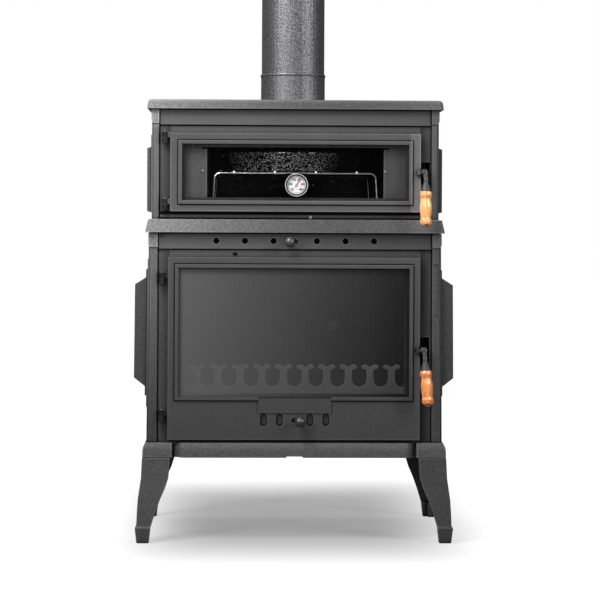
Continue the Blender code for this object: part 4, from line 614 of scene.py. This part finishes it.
def fireGlass(name):
    look = Look(name, roughness=glass["fireRoughness"], specularIorLevel=glass["fireGloss"])
    low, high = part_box("fire_door_glass")
    across = (look.axis("X") - low[0]) / (high[0] - low[0])
    up = (look.axis("Z") - low[2]) / (high[2] - low[2])
    smear = look.noise(*glass["fireSmear"])
    slant = across * glass["slantAcross"] + up * glass["slantUp"] + smear * glass["slantSmear"]
    share = slant.above(*glass["slantStep"])
    look.set(baseColor=look.between(share, glass["fireLeft"], glass["fireRight"]))
    hazeAndReflection = glass["hazeAndReflectionLeft"] - share * (glass["hazeAndReflectionLeft"] - glass["hazeAndReflectionRight"])
    look.set(alpha=hazeAndReflection + glass["hazeSmear"] * (smear - 0.5))
    return look.material


def ovenGlass(name):
    look = Look(name, roughness=glass["ovenRoughness"], specularIorLevel=glass["ovenGloss"])
    smear = look.noise(*glass["ovenSmear"])
    look.set(baseColor=look.between(smear, glass["ovenDark"], glass["ovenPale"]))
    look.set(alpha=glass["ovenHaze"] + glass["ovenHazeSmear"] * smear)
    return look.material


def lensGlass(name):
    look = Look(name, roughness=glass["lensRoughness"], specularIorLevel=glass["lensGloss"])
    dust = look.noise(*glass["lensDust"])
    look.set(baseColor=look.between(dust, glass["lensDark"], glass["lensPale"]))
    look.set(alpha=glass["lensHaze"] + glass["lensHazeDust"] * dust)
    return look.material


wood = {
    "roughness": 0.30,
    "varnish": 0.6,
    "varnishRoughness": 0.10,
    "rings": (120, 4, 0.65, (1, 1, 0.10)),
    "ringStep": (0.5, 0.28),
    "stains": (75, 2, 0.5, (1, 1, 0.5)),
    "stainStep": (0.62, 0.25),
    "stainDepth": 0.45,
    "pores": (600, 2, 0.5, (1, 1, 0.05)),
    "poreStep": (0.60, 0.14),
    "poreDepth": 0.6,
    "dark": 0.40,
    "grooveHalf": 0.0006,
    "grooveSoftness": 0.0005,
    "grooveDepth": 0.75,
    "collarSoftness": 0.003,
    "collarTone": 0.9,
    "footDepth": 0.6,
    "headDepth": 0.3,
    "holeHeight": (0.0040, 0.0020),
    "holeHalf": (0.0050, 0.0012),
    "holeDepth": 0.9,
    "holeTone": 0.3,
    "relief": 0.15,
    "reliefDepth": 0.0003,
}


# grooves: how far the two turned grooves are below the top and above the foot of the grip
# hole: where its screw comes out at the foot
def gripWood(name, pale, deep, grip, grooves, hole):
    look = Look(name, roughness=wood["roughness"], coatWeight=wood["varnish"],
                coatRoughness=wood["varnishRoughness"])
    rings = look.noise(*wood["rings"])
    pores = look.noise(*wood["pores"])
    stains = look.noise(*wood["stains"])
    dark = scaled(deep, wood["dark"])
    colour = look.between(rings.above(*wood["ringStep"]), pale, deep)
    colour = look.between(stains.above(*wood["stainStep"]) * wood["stainDepth"], colour, deep)
    colour = look.between(pores.above(*wood["poreStep"]) * wood["poreDepth"], colour, dark)
    low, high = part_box(grip)
    head = high[2] - grooves[0]
    foot = low[2] + grooves[1]
    up = look.axis("Z")
    # Painted shade: the grip is darker at its foot collar and, less, at its head collar
    collarShade = up.below(foot, wood["collarSoftness"]) * wood["footDepth"]
    collarShade = collarShade + up.above(head, wood["collarSoftness"]) * wood["headDepth"]
    colour = look.between(collarShade, colour, scaled(deep, wood["collarTone"]))
    half = wood["grooveHalf"]
    turned = up.within(head - half, head + half, wood["grooveSoftness"])
    turned = turned + up.within(foot - half, foot + half, wood["grooveSoftness"])
    colour = look.between(turned * wood["grooveDepth"], colour, dark)
    # Painted shade in the hole round the screw at the foot
    height, heightSoftness = wood["holeHeight"]
    hollow = up.below(low[2] + height, heightSoftness)
    hollow = hollow * (look.axis("X") - hole).size().below(*wood["holeHalf"])
    holeShadeColour = scaled(dark, wood["holeTone"])
    look.set(baseColor=look.between(hollow * wood["holeDepth"], colour, holeShadeColour))
    look.relief(pores, wood["relief"], wood["reliefDepth"])
    return look.material


enamel = {
    "roughness": 0.14,
    "gloss": 0.6,
    "specks": (340, 0.29, 0.05),
    "black": (0.004, 0.004, 0.005),
    "white": (0.95, 0.95, 0.95),
}


def speckledEnamel(name):
    look = Look(name, roughness=enamel["roughness"], specularIorLevel=enamel["gloss"])
    specks = look.specks(*enamel["specks"])
    look.set(baseColor=look.between(specks, enamel["black"], enamel["white"]))
    return look.material


rope = {
    "roughness": 0.95,
    "twist": 140,
    "distortion": 2.0,
    "fuzz": (900, 2),
    "twistShare": 0.7,
    "dark": (0.07, 0.065, 0.06),
    "pale": (0.24, 0.225, 0.2),
    "relief": 0.6,
    "reliefDepth": 0.001,
}


def fibreRope(name):
    look = Look(name, roughness=rope["roughness"])
    inputs = {"Vector": look.place, "Scale": rope["twist"], "Distortion": rope["distortion"]}
    twist = look.node("ShaderNodeTexWave", {"bands_direction": "DIAGONAL"}, inputs)
    share = twist.mixedWith(look.noise(*rope["fuzz"]), rope["twistShare"])
    look.set(baseColor=look.between(share, rope["dark"], rope["pale"]))
    look.relief(twist, rope["relief"], rope["reliefDepth"])
    return look.material


# The thermometer's face: radii from its middle, and its inks
dial = {
    "bezel": (0.0237, 0.0006),
    "rim": 0.0205,
    "tickOut": 0.0198,
    "tickIn": 0.0162,
    "ticks": 30,
    "tickStep": (0.30, 0.12),
    "band": (0.0100, 0.0122),
    "bandDepth": 0.8,
    "softness": 0.0004,
    "roughness": 0.45,
    "grain": (500, 2),
    "paperDark": (0.60, 0.60, 0.61),
    "paperPale": (0.72, 0.72, 0.73),
    "cold": (0.40, 0.46, 0.55),
    "warm": (0.62, 0.30, 0.24),
    "warmStep": (0, 0.004),
    "ink": (0.02, 0.02, 0.02),
    "border": (0.012, 0.012, 0.013),
}
chrome = {
    "scratches": (500, 3),
    "dark": (0.17, 0.17, 0.175),
    "bright": (0.25, 0.25, 0.255),
    "inside": (0.003, 0.003, 0.003),
    "roughness": 0.16,
    "roughening": 0.1,
}
dialLow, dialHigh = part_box("thermometer_dial")
dialMiddle = ((dialLow[0] + dialHigh[0]) / 2, (dialLow[2] + dialHigh[2]) / 2)


def fromDialMiddle(look):
    right = look.axis("X") - dialMiddle[0]
    up = look.axis("Z") - dialMiddle[1]
    return right, up, (right * right + up * up) ** 0.5


# Polished outside, blackened inside
def bezelChrome(name):
    look = Look(name, metallic=1.0)
    scratches = look.noise(*chrome["scratches"])
    right, up, radius = fromDialMiddle(look)
    polished = look.between(scratches, chrome["dark"], chrome["bright"])
    look.set(baseColor=look.between(radius.above(*dial["bezel"]), chrome["inside"], polished))
    look.set(roughness=chrome["roughness"] + chrome["roughening"] * scratches)
    return look.material


# A white dial with a black border, a ring of ticks and a tinted band inside them
def dialFace(name):
    look = Look(name, roughness=dial["roughness"])
    right, up, radius = fromDialMiddle(look)
    turn = radius.maths("ARCTAN2", up, right)
    beat = turn.maths("PINGPONG", turn * (dial["ticks"] / math.tau) + dial["ticks"], 0.5)
    ticks = beat.above(*dial["tickStep"]) * radius.above(dial["tickIn"], dial["softness"])
    ticks = ticks * radius.below(dial["tickOut"], dial["softness"])
    paper = look.between(look.noise(*dial["grain"]), dial["paperDark"], dial["paperPale"])
    tint = look.between(right.above(*dial["warmStep"]), dial["cold"], dial["warm"])
    band = radius.within(*dial["band"], dial["softness"]) * dial["bandDepth"]
    face = look.between(ticks, look.between(band, paper, tint), dial["ink"])
    border = radius.above(dial["rim"], dial["softness"])
    look.set(baseColor=look.between(border, face, dial["border"]))
    return look.material


# One finish for each material slot of the frame
finishes = {
    "cast_iron": castIron("cast iron", iron["tone"]),
    "plate_iron": plateIron("plate iron", iron["plateTone"]),
    "flue_steel": flueSteel("flue steel"),
    "sheet_steel": plainMetal("black sheet steel", (0.022, 0.022, 0.023), 0.55, 0.4),
    "chrome_wire": plainMetal("chrome wire", (0.72, 0.72, 0.73), 0.22, 1.0),
    "bright_steel": plainMetal("dull steel", (0.30, 0.30, 0.31), 0.42, 0.9),
    "rope": fibreRope("glass fibre rope"),
    "fire_grip_wood": gripWood("red beech", (0.97, 0.42, 0.14), (0.66, 0.16, 0.04),
                               "fire_handle_grip", (0.0102, 0.0120), 0.2975),
    "oven_grip_wood": gripWood("pale beech", (1.0, 0.58, 0.24), (0.82, 0.30, 0.08),
                               "oven_handle_grip", (0.0120, 0.0145), 0.2925),
    "enamel": speckledEnamel("speckled enamel"),
    "dial": dialFace("dial white"),
    "needle_red": plainMetal("needle red", (0.44, 0.05, 0.03), 0.45, 0.0),
}


# Cast iron with the coarse mottle of the sides, base and legs
def sideIron(name, tone, **others):
    return castIron(name, tone, mottled=iron["sideMottle"], **others)


# Painted light: the front legs brighter to the left, the rear legs a lighter copy of the leg
# iron, and the shields brighter to the right
legIron = sideIron("leg iron", iron["tone"], wear=0.3, tilt=(1.12, -0.45, 0.0, 0.0))
rearLegIron = sideIron("rear leg iron", scaled(iron["tone"], 1.8), wear=0.3)
shieldIron = sideIron("shield iron", iron["shieldTone"], wear=0.0,
                      tilt=(1.36, 0.85, 0.0, 0.0))
linerIron = castIron("smoked iron", iron["linerTone"], speckle=0.2, relief=0.4, rough=0.7)
knobBlack = castIron("knob black", iron["knobTone"], speckle=0.1, relief=0.05, rough=0.24,
                     wear=0.0, gloss=0.6)
leverBlack = castIron("lever black", iron["leverTone"], speckle=1.0, relief=0.8, rough=0.30,
                      wear=0.3, gloss=0.4, mottled=iron["leverMottle"], shadeMarks=leverShade)
screwSteel = plainMetal("screw steel", (0.42, 0.37, 0.30), 0.40, 0.6)

# Nodes that differ from the finish of their slot
special = {
    "fire_door_glass": fireGlass("fire glass"),
    "oven_door_glass": ovenGlass("oven glass"),
    "oven_box": sootySteel("sooty steel"),
    "thermometer_case": bezelChrome("polished chrome"),
    # Painted shade: the top plate is a darker copy of the plate iron
    "top_plate": plateIron("top plate iron", scaled(iron["plateTone"], 0.80)),
    "base_plate": sideIron("base iron", iron["baseTone"], wear=0.3),
    "leg_front_left": legIron,
    "leg_front_right": legIron,
    "leg_rear_left": rearLegIron,
    "leg_rear_right": rearLegIron,
    "side_shield_left": shieldIron,
    "side_shield_right": shieldIron,
    # Painted light: the left sides are lighter copies of the iron, the fire one brighter
    # upward, and the capitals are brighter
    "firebox_side_left": sideIron("left fire side iron", iron["tone"], wear=0.25,
                                  tilt=(1.25, 0.0, 2.6, 0.45), lit=capitalLit),
    "oven_side_left": sideIron("left oven side iron", iron["tone"], wear=0.25,
                               tilt=(1.48, 0.0, 0.0, 0.0), lit=capitalLit),
    "firebox_side_right": sideIron("right fire side iron", iron["tone"], wear=0.15,
                                   lit=capitalLit),
    "oven_side_right": sideIron("right side iron", iron["tone"], wear=0.15),
    # Painted light and shade on the fronts and door frames: slopes of brightness, the oven
    # front a lighter copy of the iron, shade marks and lit strips
    "firebox_front": castIron("fire front iron", iron["tone"], wear=0.25,
                              tilt=(1.14, -1.2, 0.0, 0.0), shadeMarks=fireFrontShade),
    "oven_front": castIron("oven front iron", scaled(iron["tone"], 1.15), wear=0.25,
                           tilt=(0.88, -0.45, 0.0, 0.0), shadeMarks=ovenFrontShade,
                           lit=ovenFrontLit),
    "fire_door_frame": castIron("fire door iron", iron["tone"], speckle=0.2, wear=0.14,
                                shadeMarks=fireDoorShade),
    "oven_door_frame": castIron("oven door iron", iron["tone"], speckle=0.4, wear=0.35,
                                tilt=(1.02, 0.0, -1.8, 0.84), shadeMarks=ovenDoorShade,
                                lit=ovenDoorLit),
    # Painted light: the log guard, and the bolt that takes its finish, are iron far paler than
    # the rest, as if lit inside the firebox
    "log_guard": castIron("log guard iron with painted light", iron["guardTone"], speckle=0.3, relief=0.4, rough=0.7,
                          wear=0.3),
    "firebox_liner_back": castIron("sooty back iron", iron["backTone"], speckle=0.1,
                                   relief=0.1, rough=0.75, wear=0.0, gloss=0.02),
    "firebox_liner_left": linerIron,
    "firebox_liner_right": linerIron,
    # Painted shade: the slide seen through the slots is a darker copy of the iron
    "primary_air_slide": castIron("slide iron", scaled(iron["tone"], 0.45)),
    "primary_air_knob": knobBlack,
    "secondary_air_knob": knobBlack,
    "fire_handle_lever": leverBlack,
    "oven_handle_lever": leverBlack,
    "fire_handle_screw": screwSteel,
    "oven_handle_screw": screwSteel,
}
print("finishes made,", len(finishes) + len(special))


# A finer copy of a node, with its cast edges rounded, stands for it

softened = {
    "base_plate": 0.0016, "leg_front_left": 0.0022, "leg_front_right": 0.0022,
    "leg_rear_left": 0.0022, "leg_rear_right": 0.0022,
    "firebox_side_left": 0.0008, "firebox_side_right": 0.0008,
    "oven_side_left": 0.0008, "oven_side_right": 0.0008,
    "side_shield_left": 0.0012, "side_shield_right": 0.0012,
    "firebox_front": 0.0007, "oven_front": 0.0007,
    "firebox_back": 0.0010, "oven_back": 0.0010,
    "middle_plate": 0.0018, "top_plate": 0.0010,
    "fire_door_frame": 0.0010, "oven_door_frame": 0.0010,
    "fire_handle_lever": 0.0012, "oven_handle_lever": 0.0012,
    "log_guard": 0.0016, "fire_grate": 0.0012,
}

# Angles in degrees: faces taken as flat, edges that are rounded, edges that stay sharp
rounding = {"merge": 0.00001, "flat": 0.5, "rounded": 32, "sharp": 35, "segments": 2}


def setFinish(piece, finish):
    piece.data.materials.clear()
    piece.data.materials.append(finish)


def softCopy(name, finish):
    piece = nodes[name].copy()
    piece.data = nodes[name].data.copy()
    piece.name = name + "_cast"
    piece.parent = None
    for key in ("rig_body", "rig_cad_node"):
        if key in piece:
            del piece[key]
    bpy.context.scene.collection.objects.link(piece)
    bpy.ops.object.select_all(action="DESELECT")
    bpy.context.view_layer.objects.active = piece
    piece.select_set(True)
    bpy.ops.object.mode_set(mode="EDIT")
    bpy.ops.mesh.select_all(action="SELECT")
    bpy.ops.mesh.remove_doubles(threshold=rounding["merge"])
    bpy.ops.mesh.dissolve_limited(angle_limit=math.radians(rounding["flat"]))
    bpy.ops.object.mode_set(mode="OBJECT")
    bevel = piece.modifiers.new("Rounding", "BEVEL")
    bevel.width = softened[name]
    bevel.segments = rounding["segments"]
    bevel.limit_method = "ANGLE"
    bevel.angle_limit = math.radians(rounding["rounded"])
    bevel.use_clamp_overlap = True
    bpy.ops.object.modifier_apply(modifier=bevel.name)
    bpy.ops.object.shade_smooth_by_angle(angle=math.radians(rounding["sharp"]))
    evening = piece.modifiers.new("Flat faces", "WEIGHTED_NORMAL")
    evening.keep_sharp = True
    bpy.ops.object.modifier_apply(modifier=evening.name)
    setFinish(piece, finish)
    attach(piece, bodyOf[name])
    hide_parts(name)


for name in nodes:
    finish = special.get(name) or finishes[slotOf[name]]
    if name in softened:
        softCopy(name, finish)
    else:
        setFinish(nodes[name], finish)
print("nodes dressed,", len(softened), "with rounded edges")


# Small pieces that the frame leaves to this file

front = Vector((0, -1, 0))
upward = Vector((0, 0, 1))
quarter = math.radians(90)
smoothBelow = math.radians(40)
facing = 0.9


def startPiece():
    if bpy.context.mode != "OBJECT":
        bpy.ops.object.mode_set(mode="OBJECT")
    bpy.ops.object.select_all(action="DESELECT")


def pickFacing(direction):
    shape = bmesh.from_edit_mesh(bpy.context.object.data)
    bpy.ops.mesh.select_all(action="DESELECT")
    bpy.ops.mesh.select_mode(type="FACE")
    for face in shape.faces:
        face.select = face.normal.dot(direction) > facing
    bmesh.update_edit_mesh(bpy.context.object.data)


# Opens the piece just added in edit mode, with its front picked
def openFront():
    bpy.ops.object.transform_apply(location=True, rotation=True, scale=True)
    bpy.ops.object.mode_set(mode="EDIT")
    pickFacing(front)


# A disc that faces the front, with its back at the place given
def startDisc(radius, depth, place, corners):
    startPiece()
    middle = (place[0], place[1] - depth / 2, place[2])
    bpy.ops.mesh.primitive_cylinder_add(vertices=corners, radius=radius, depth=depth,
                                        location=middle, rotation=(quarter, 0, 0))
    openFront()


def startBlock(middle, size):
    startPiece()
    bpy.ops.mesh.primitive_cube_add(size=1, location=middle, scale=size)
    openFront()


# Moves what is picked towards the front
def pull(distance):
    bpy.ops.transform.translate(value=front * distance)


def finishPiece(name, body, finish):
    bpy.ops.object.mode_set(mode="OBJECT")
    piece = bpy.context.object
    bpy.ops.object.transform_apply(location=True, rotation=True, scale=True)
    bpy.ops.object.shade_smooth_by_angle(angle=smoothBelow)
    piece.name = name
    setFinish(piece, finish)
    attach(piece, body)


# Pan head screws: their sizes, and for each its seat, its scale and its finish
friezeFace = frontFace - 0.004
sillFace = frontFace - 0.006
dullSteel = finishes["bright_steel"]
screw = {
    "corners": 18, "radius": 0.0030, "height": 0.0016, "rim": 0.25, "dome": 0.0007,
    "socket": 0.0012, "socketWall": 0.15, "socketDepth": 1.7,
    "seats": {
        "oven_frame_screw_left": (-0.209, frontFace, 0.8365, 1.0, dullSteel),
        "oven_frame_screw_right": (0.203, frontFace, 0.8365, 1.0, dullSteel),
        "frieze_screw": (-0.3000, friezeFace, 0.6915, 1.2, leverBlack),
        "sill_screw": (0.034, sillFace, 0.7325, 1.25, dullSteel),
    },
}
for name, (x, y, z, size, finish) in screw["seats"].items():
    radius = screw["radius"] * size
    rim = radius * screw["rim"]
    socket = screw["socket"] * size
    dome = screw["dome"] * size
    startDisc(radius, screw["height"] * size, (x, y, z), screw["corners"])
    bpy.ops.mesh.inset(thickness=rim)
    pull(dome)
    bpy.ops.mesh.inset(thickness=radius - rim - socket)
    bpy.ops.mesh.inset(thickness=socket * screw["socketWall"])
    pull(-dome * screw["socketDepth"])
    finishPiece(name, "stove", finish)

# The bolt with its washer on the back of the firebox
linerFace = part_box("firebox_liner_back")[0][1]
bolt = {"place": (0.099, linerFace, 0.470), "corners": 24, "washer": 0.0115,
        "thickness": 0.0022, "head": 0.0075, "height": 0.0048, "edge": 0.0012, "crown": 0.00072}
startDisc(bolt["washer"], bolt["thickness"], bolt["place"], bolt["corners"])
bpy.ops.mesh.inset(thickness=bolt["washer"] - bolt["head"])
bpy.ops.mesh.extrude_region_move(TRANSFORM_OT_translate={"value": front * bolt["height"]})
bpy.ops.mesh.inset(thickness=bolt["edge"])
pull(bolt["crown"])
finishPiece("liner_bolt", "stove", special["log_guard"])

# A casting mark on the strip over the fire door: a low ridge with sloped ends
nib = {"place": (-0.1355, frontFace, 0.6490), "size": (0.0085, 0.0016, 0.0050),
       "slope": 0.0012, "crown": 0.00064}
x, y, z = nib["place"]
startBlock((x, y - nib["size"][1] / 2, z), nib["size"])
bpy.ops.mesh.inset(thickness=nib["slope"])
pull(nib["crown"])
finishPiece("casting_nib", "stove", special["oven_box"])

# The clip behind the fire glass, in its lower right corner
clip = {"right": 0.2550, "bottom": 0.3310, "width": 0.0090, "height": 0.0230, "depth": 0.0012,
        "lip": 0.0020, "hollow": 0.00048, "foldBack": 0.0035, "foldUp": 0.0014, "gap": 0.0003}
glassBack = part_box("fire_glass_retainer")[1][1] + clip["gap"]
middle = (clip["right"] - clip["width"] / 2, glassBack + clip["depth"] / 2,
          clip["bottom"] + clip["height"] / 2)
startBlock(middle, (clip["width"], clip["depth"], clip["height"]))
bpy.ops.mesh.inset(thickness=clip["lip"])
pull(-clip["hollow"])
pickFacing(upward)
bpy.ops.mesh.extrude_region_move(
    TRANSFORM_OT_translate={"value": (0, clip["foldBack"], clip["foldUp"])})
finishPiece("glass_clip", "fire_door", dullSteel)

# The thermometer's domed lens: each step of the dome is a share of its radius
lens = {"radius": 0.0242, "edge": 0.0007, "corners": 40, "front": 0.0199, "dome": 0.0010,
        "steps": (0.30, 0.30, 0.25)}
startDisc(lens["radius"], lens["edge"],
          (dialMiddle[0], frontFace - lens["front"], dialMiddle[1]), lens["corners"])
for share in lens["steps"]:
    bpy.ops.mesh.inset(thickness=lens["radius"] * share)
    pull(lens["dome"] * share)
finishPiece("thermometer_lens", "oven_door", lensGlass("lens glass"))

# Its plain numbers, on an arc that goes from lower left over the top to lower right
numbers = {"labels": ("50", "100", "150", "200", "250", "300"), "first": 225, "last": -45,
           "radius": 0.0138, "height": 0.0056, "bold": 0.00016, "depth": 0.00006,
           "face": 0.0012, "ink": (0.02, 0.02, 0.02)}
dialFront = dialLow[1] + numbers["face"]
startPiece()
digits = []
for number, label in enumerate(numbers["labels"]):
    share = number / (len(numbers["labels"]) - 1)
    angle = math.radians(numbers["first"] + (numbers["last"] - numbers["first"]) * share)
    bpy.ops.object.text_add(rotation=(quarter, 0, 0), location=(
        dialMiddle[0] + numbers["radius"] * math.cos(angle), dialFront,
        dialMiddle[1] + numbers["radius"] * math.sin(angle)))
    text = bpy.context.object
    text.data.body = label
    text.data.size = numbers["height"]
    text.data.extrude = numbers["depth"]
    text.data.offset = numbers["bold"]
    text.data.align_x = "CENTER"
    text.data.align_y = "CENTER"
    bpy.ops.object.convert(target="MESH")
    digits.append(bpy.context.object)
for digit in digits:
    digit.select_set(True)
bpy.ops.object.join()
finishPiece("thermometer_numbers", "oven_door",
            plainMetal("print black", numbers["ink"], 0.5, 0.0))
print("small pieces made,", len(screw["seats"]) + 5)


# Floor, world and lamps

# The painted shadow under the stove: its middle, half width, half depth, how square it is,
# where its fading begins and ends, and how bright it is inside
room = {
    "floor": 40.0, "floorHeight": -0.0005, "floorTone": (0.16, 0.16, 0.16, 1),
    "floorRoughness": 0.9, "worldFill": 0.15,
    "shadowMiddle": 0.19, "shadowWide": 0.365, "shadowDeep": 0.60, "shadowSquare": 6,
    "shadowInner": 0.48, "shadowOuter": 1.50, "shadowLight": 0.31,
}

startPiece()
bpy.ops.mesh.primitive_plane_add(size=room["floor"], location=(0, 0, room["floorHeight"]))
bpy.ops.object.transform_apply(location=True, rotation=True, scale=True)
floor = bpy.context.object
floor.name = "floor"
ground = Look("pale floor", roughness=room["floorRoughness"], specularIorLevel=0.0,
              emissionStrength=1.0, baseColor=room["floorTone"])
across = (ground.axis("X") / room["shadowWide"]).size()
away = ((ground.axis("Y") - room["shadowMiddle"]) / room["shadowDeep"]).size()
square = room["shadowSquare"]
reach = (across ** square + away ** square) ** (1 / square)
# The floor's glow drops near the stove, which paints the shadow under it
lift = ground.node("ShaderNodeMapRange", {"interpolation_type": "SMOOTHSTEP"}, {
    "Value": reach, "From Min": room["shadowInner"], "From Max": room["shadowOuter"],
    "To Min": room["shadowLight"], "To Max": 1.0})
shown = ground.node("ShaderNodeLightPath", output="Is Camera Ray")
shown = shown.atLeast(ground.node("ShaderNodeLightPath", output="Is Transmission Ray"))
ground.set(emissionColor=ground.between(lift * shown, (0, 0, 0), (1, 1, 1)))
floor.data.materials.append(ground.material)

# White where the camera sees it, much dimmer as a light
world = bpy.data.worlds.new("studio")
bpy.context.scene.world = world
world.use_nodes = True
backdrop = world.node_tree.nodes["Background"]
backdrop.inputs["Color"].default_value = (1, 1, 1, 1)
links = world.node_tree.links
rays = world.node_tree.nodes.new("ShaderNodeLightPath")
either = world.node_tree.nodes.new("ShaderNodeMath")
either.operation = "MAXIMUM"
links.new(rays.outputs["Is Camera Ray"], either.inputs[0])
links.new(rays.outputs["Is Transmission Ray"], either.inputs[1])
level = world.node_tree.nodes.new("ShaderNodeMapRange")
level.inputs["To Min"].default_value = room["worldFill"]
level.inputs["To Max"].default_value = 1.0
links.new(either.outputs[0], level.inputs["Value"])
links.new(level.outputs[0], backdrop.inputs["Strength"])

# Name, place, target, width, height and watts
lamps = (
    ("top front", (-0.95, -1.30, 2.60), (0, -0.1, 0.80), 1.2, 0.8, 78),
    ("left", (-2.4, -2.4, 1.90), (0, 0, 0.85), 0.8, 1.6, 50),
    ("right", (2.6, -1.9, 1.80), (0, 0, 0.85), 0.6, 1.6, 54),
    ("front fill", (-0.4, -4.5, 1.30), (0, 0, 0.75), 1.6, 1.0, 34),
    ("overhead", (-0.3, 0.45, 2.90), (0, 0, 0.3), 1.8, 1.4, 40),
)
for name, place, target, width, height, power in lamps:
    lampData = bpy.data.lights.new(name, "AREA")
    lampData.shape = "RECTANGLE"
    lampData.size = width
    lampData.size_y = height
    lampData.energy = power
    lamp = bpy.data.objects.new(name, lampData)
    lamp.location = place
    aim = Vector(target) - Vector(place)
    lamp.rotation_euler = aim.to_track_quat("-Z", "Y").to_euler()
    bpy.context.scene.collection.objects.link(lamp)
print("floor and lamps set")
